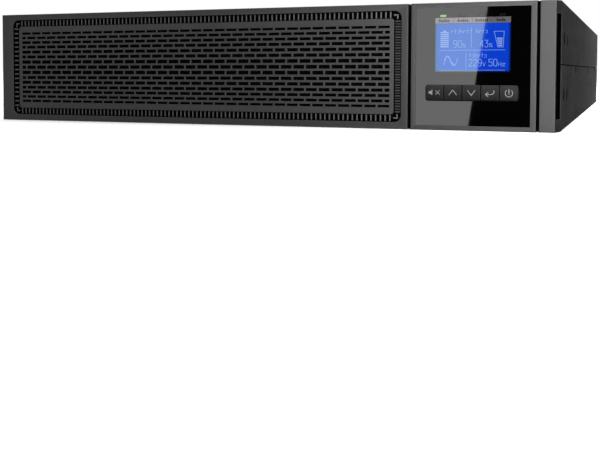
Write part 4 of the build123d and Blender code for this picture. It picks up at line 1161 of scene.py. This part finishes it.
def reflection_light(panel_y, upper, lower, card_y, wide, tall, power, receivers):
    """A softbox whose right-hand edge is mirrored in the gloss panel along the line upper to lower.

    It lights only the receivers, so the rest of the front keeps its own even falloff."""
    mirrored = Vector((CAMERA_AT.x, 2 * panel_y - CAMERA_AT.y, CAMERA_AT.z))
    ends = []
    for x, z in (upper, lower):
        ray = Vector((x * MM, panel_y, z * MM)) - mirrored
        ends.append(mirrored + ray * ((card_y - mirrored.y) / ray.y))
    along = (ends[0] - ends[1]).normalized()
    aside = Vector((-along.z, 0, along.x))
    middle = (ends[0] + ends[1]) / 2 + aside * wide / 2
    light = area_light("wedge", middle, middle + Vector((0, 1, 0)), (wide, tall), power, True)
    turn = Matrix((-aside, along, (-aside).cross(along))).transposed()
    light.rotation_euler = turn.to_euler()
    lit_only(light, "gloss_receivers", receivers)


def backdrop():
    """A pale floor, and two black cards that only the object's gloss sees."""
    floor_edge, floor_glow = 30, 0.22
    pale = surface("floor", (0.86, 0.86, 0.86), 0.9, shade=0.01, shade_mm=900, grain=0, specular=0.1)
    shader = pale.node_tree.nodes["Principled BSDF"]
    shader.inputs["Emission Color"].default_value = (1, 1, 1, 1)
    shader.inputs["Emission Strength"].default_value = floor_glow
    floor = staged("floor", [(x, y, 0) for x, y in box_loop((-floor_edge, floor_edge),
                                                            (-floor_edge, floor_edge))], pale)
    floor.visible_glossy = False
    black = surface("black_card", (0.0, 0.0, 0.0), 1.0, specular=0.0, shade=0, grain=0)
    for name, x, y, z in (("front_card", (-1.6, 0.25), -2.6, (-0.8, 0.9)),
                          ("side_card", (0.24, 3.0), 2.4, (-2.0, 2.4))):
        card = staged(name, [(across, y, up) for across, up in box_loop(x, z)], black)
        card.visible_camera = card.visible_diffuse = card.visible_shadow = False


def sky_light():
    data = bpy.data.lights.new("sky", "SUN")
    data.energy = 2.5
    data.angle = math.radians(70)
    bpy.context.scene.collection.objects.link(bpy.data.objects.new("sky", data))


def studio():
    world()
    backdrop()
    sky_light()
    area_light("key", (0.213, -0.459, 0.10), (0.213, -0.339, 0.10), (0.02, 0.20), 0.72)
    area_light("side", (0.85, 0.95, 0.26), (0.219, 0.30, 0.04), (0.3, 0.3), 50.0)
    area_light("rear", (-0.5, 2.2, 1.3), (0.0, 0.33, 0.04), (1.6, 0.9), 34.0)
    rim = area_light("rim", (0.90, -0.372, 0.06), (0.216, -0.339, 0.045), (0.03, 0.25), 26.0)
    lit_only(rim, "rim_receivers", [NODES[n] for n in ("front_bezel", "front_frame", "display_frame")])
    gloss = [NODES[n] for n in ("display_panel", "lcd_screen", "label_strip")]
    panel_y = FACE_Y + 0.4 * MM
    reflection_light(panel_y, upper=(173.0, 83.0), lower=(161.0, 3.3), card_y=-1.5, wide=1.0, tall=0.9,
                     power=9.3, receivers=gloss + [PICTURE, LABELS, *LAMPS])


camera()
studio()

bpy.context.scene.view_settings.view_transform = "Standard"
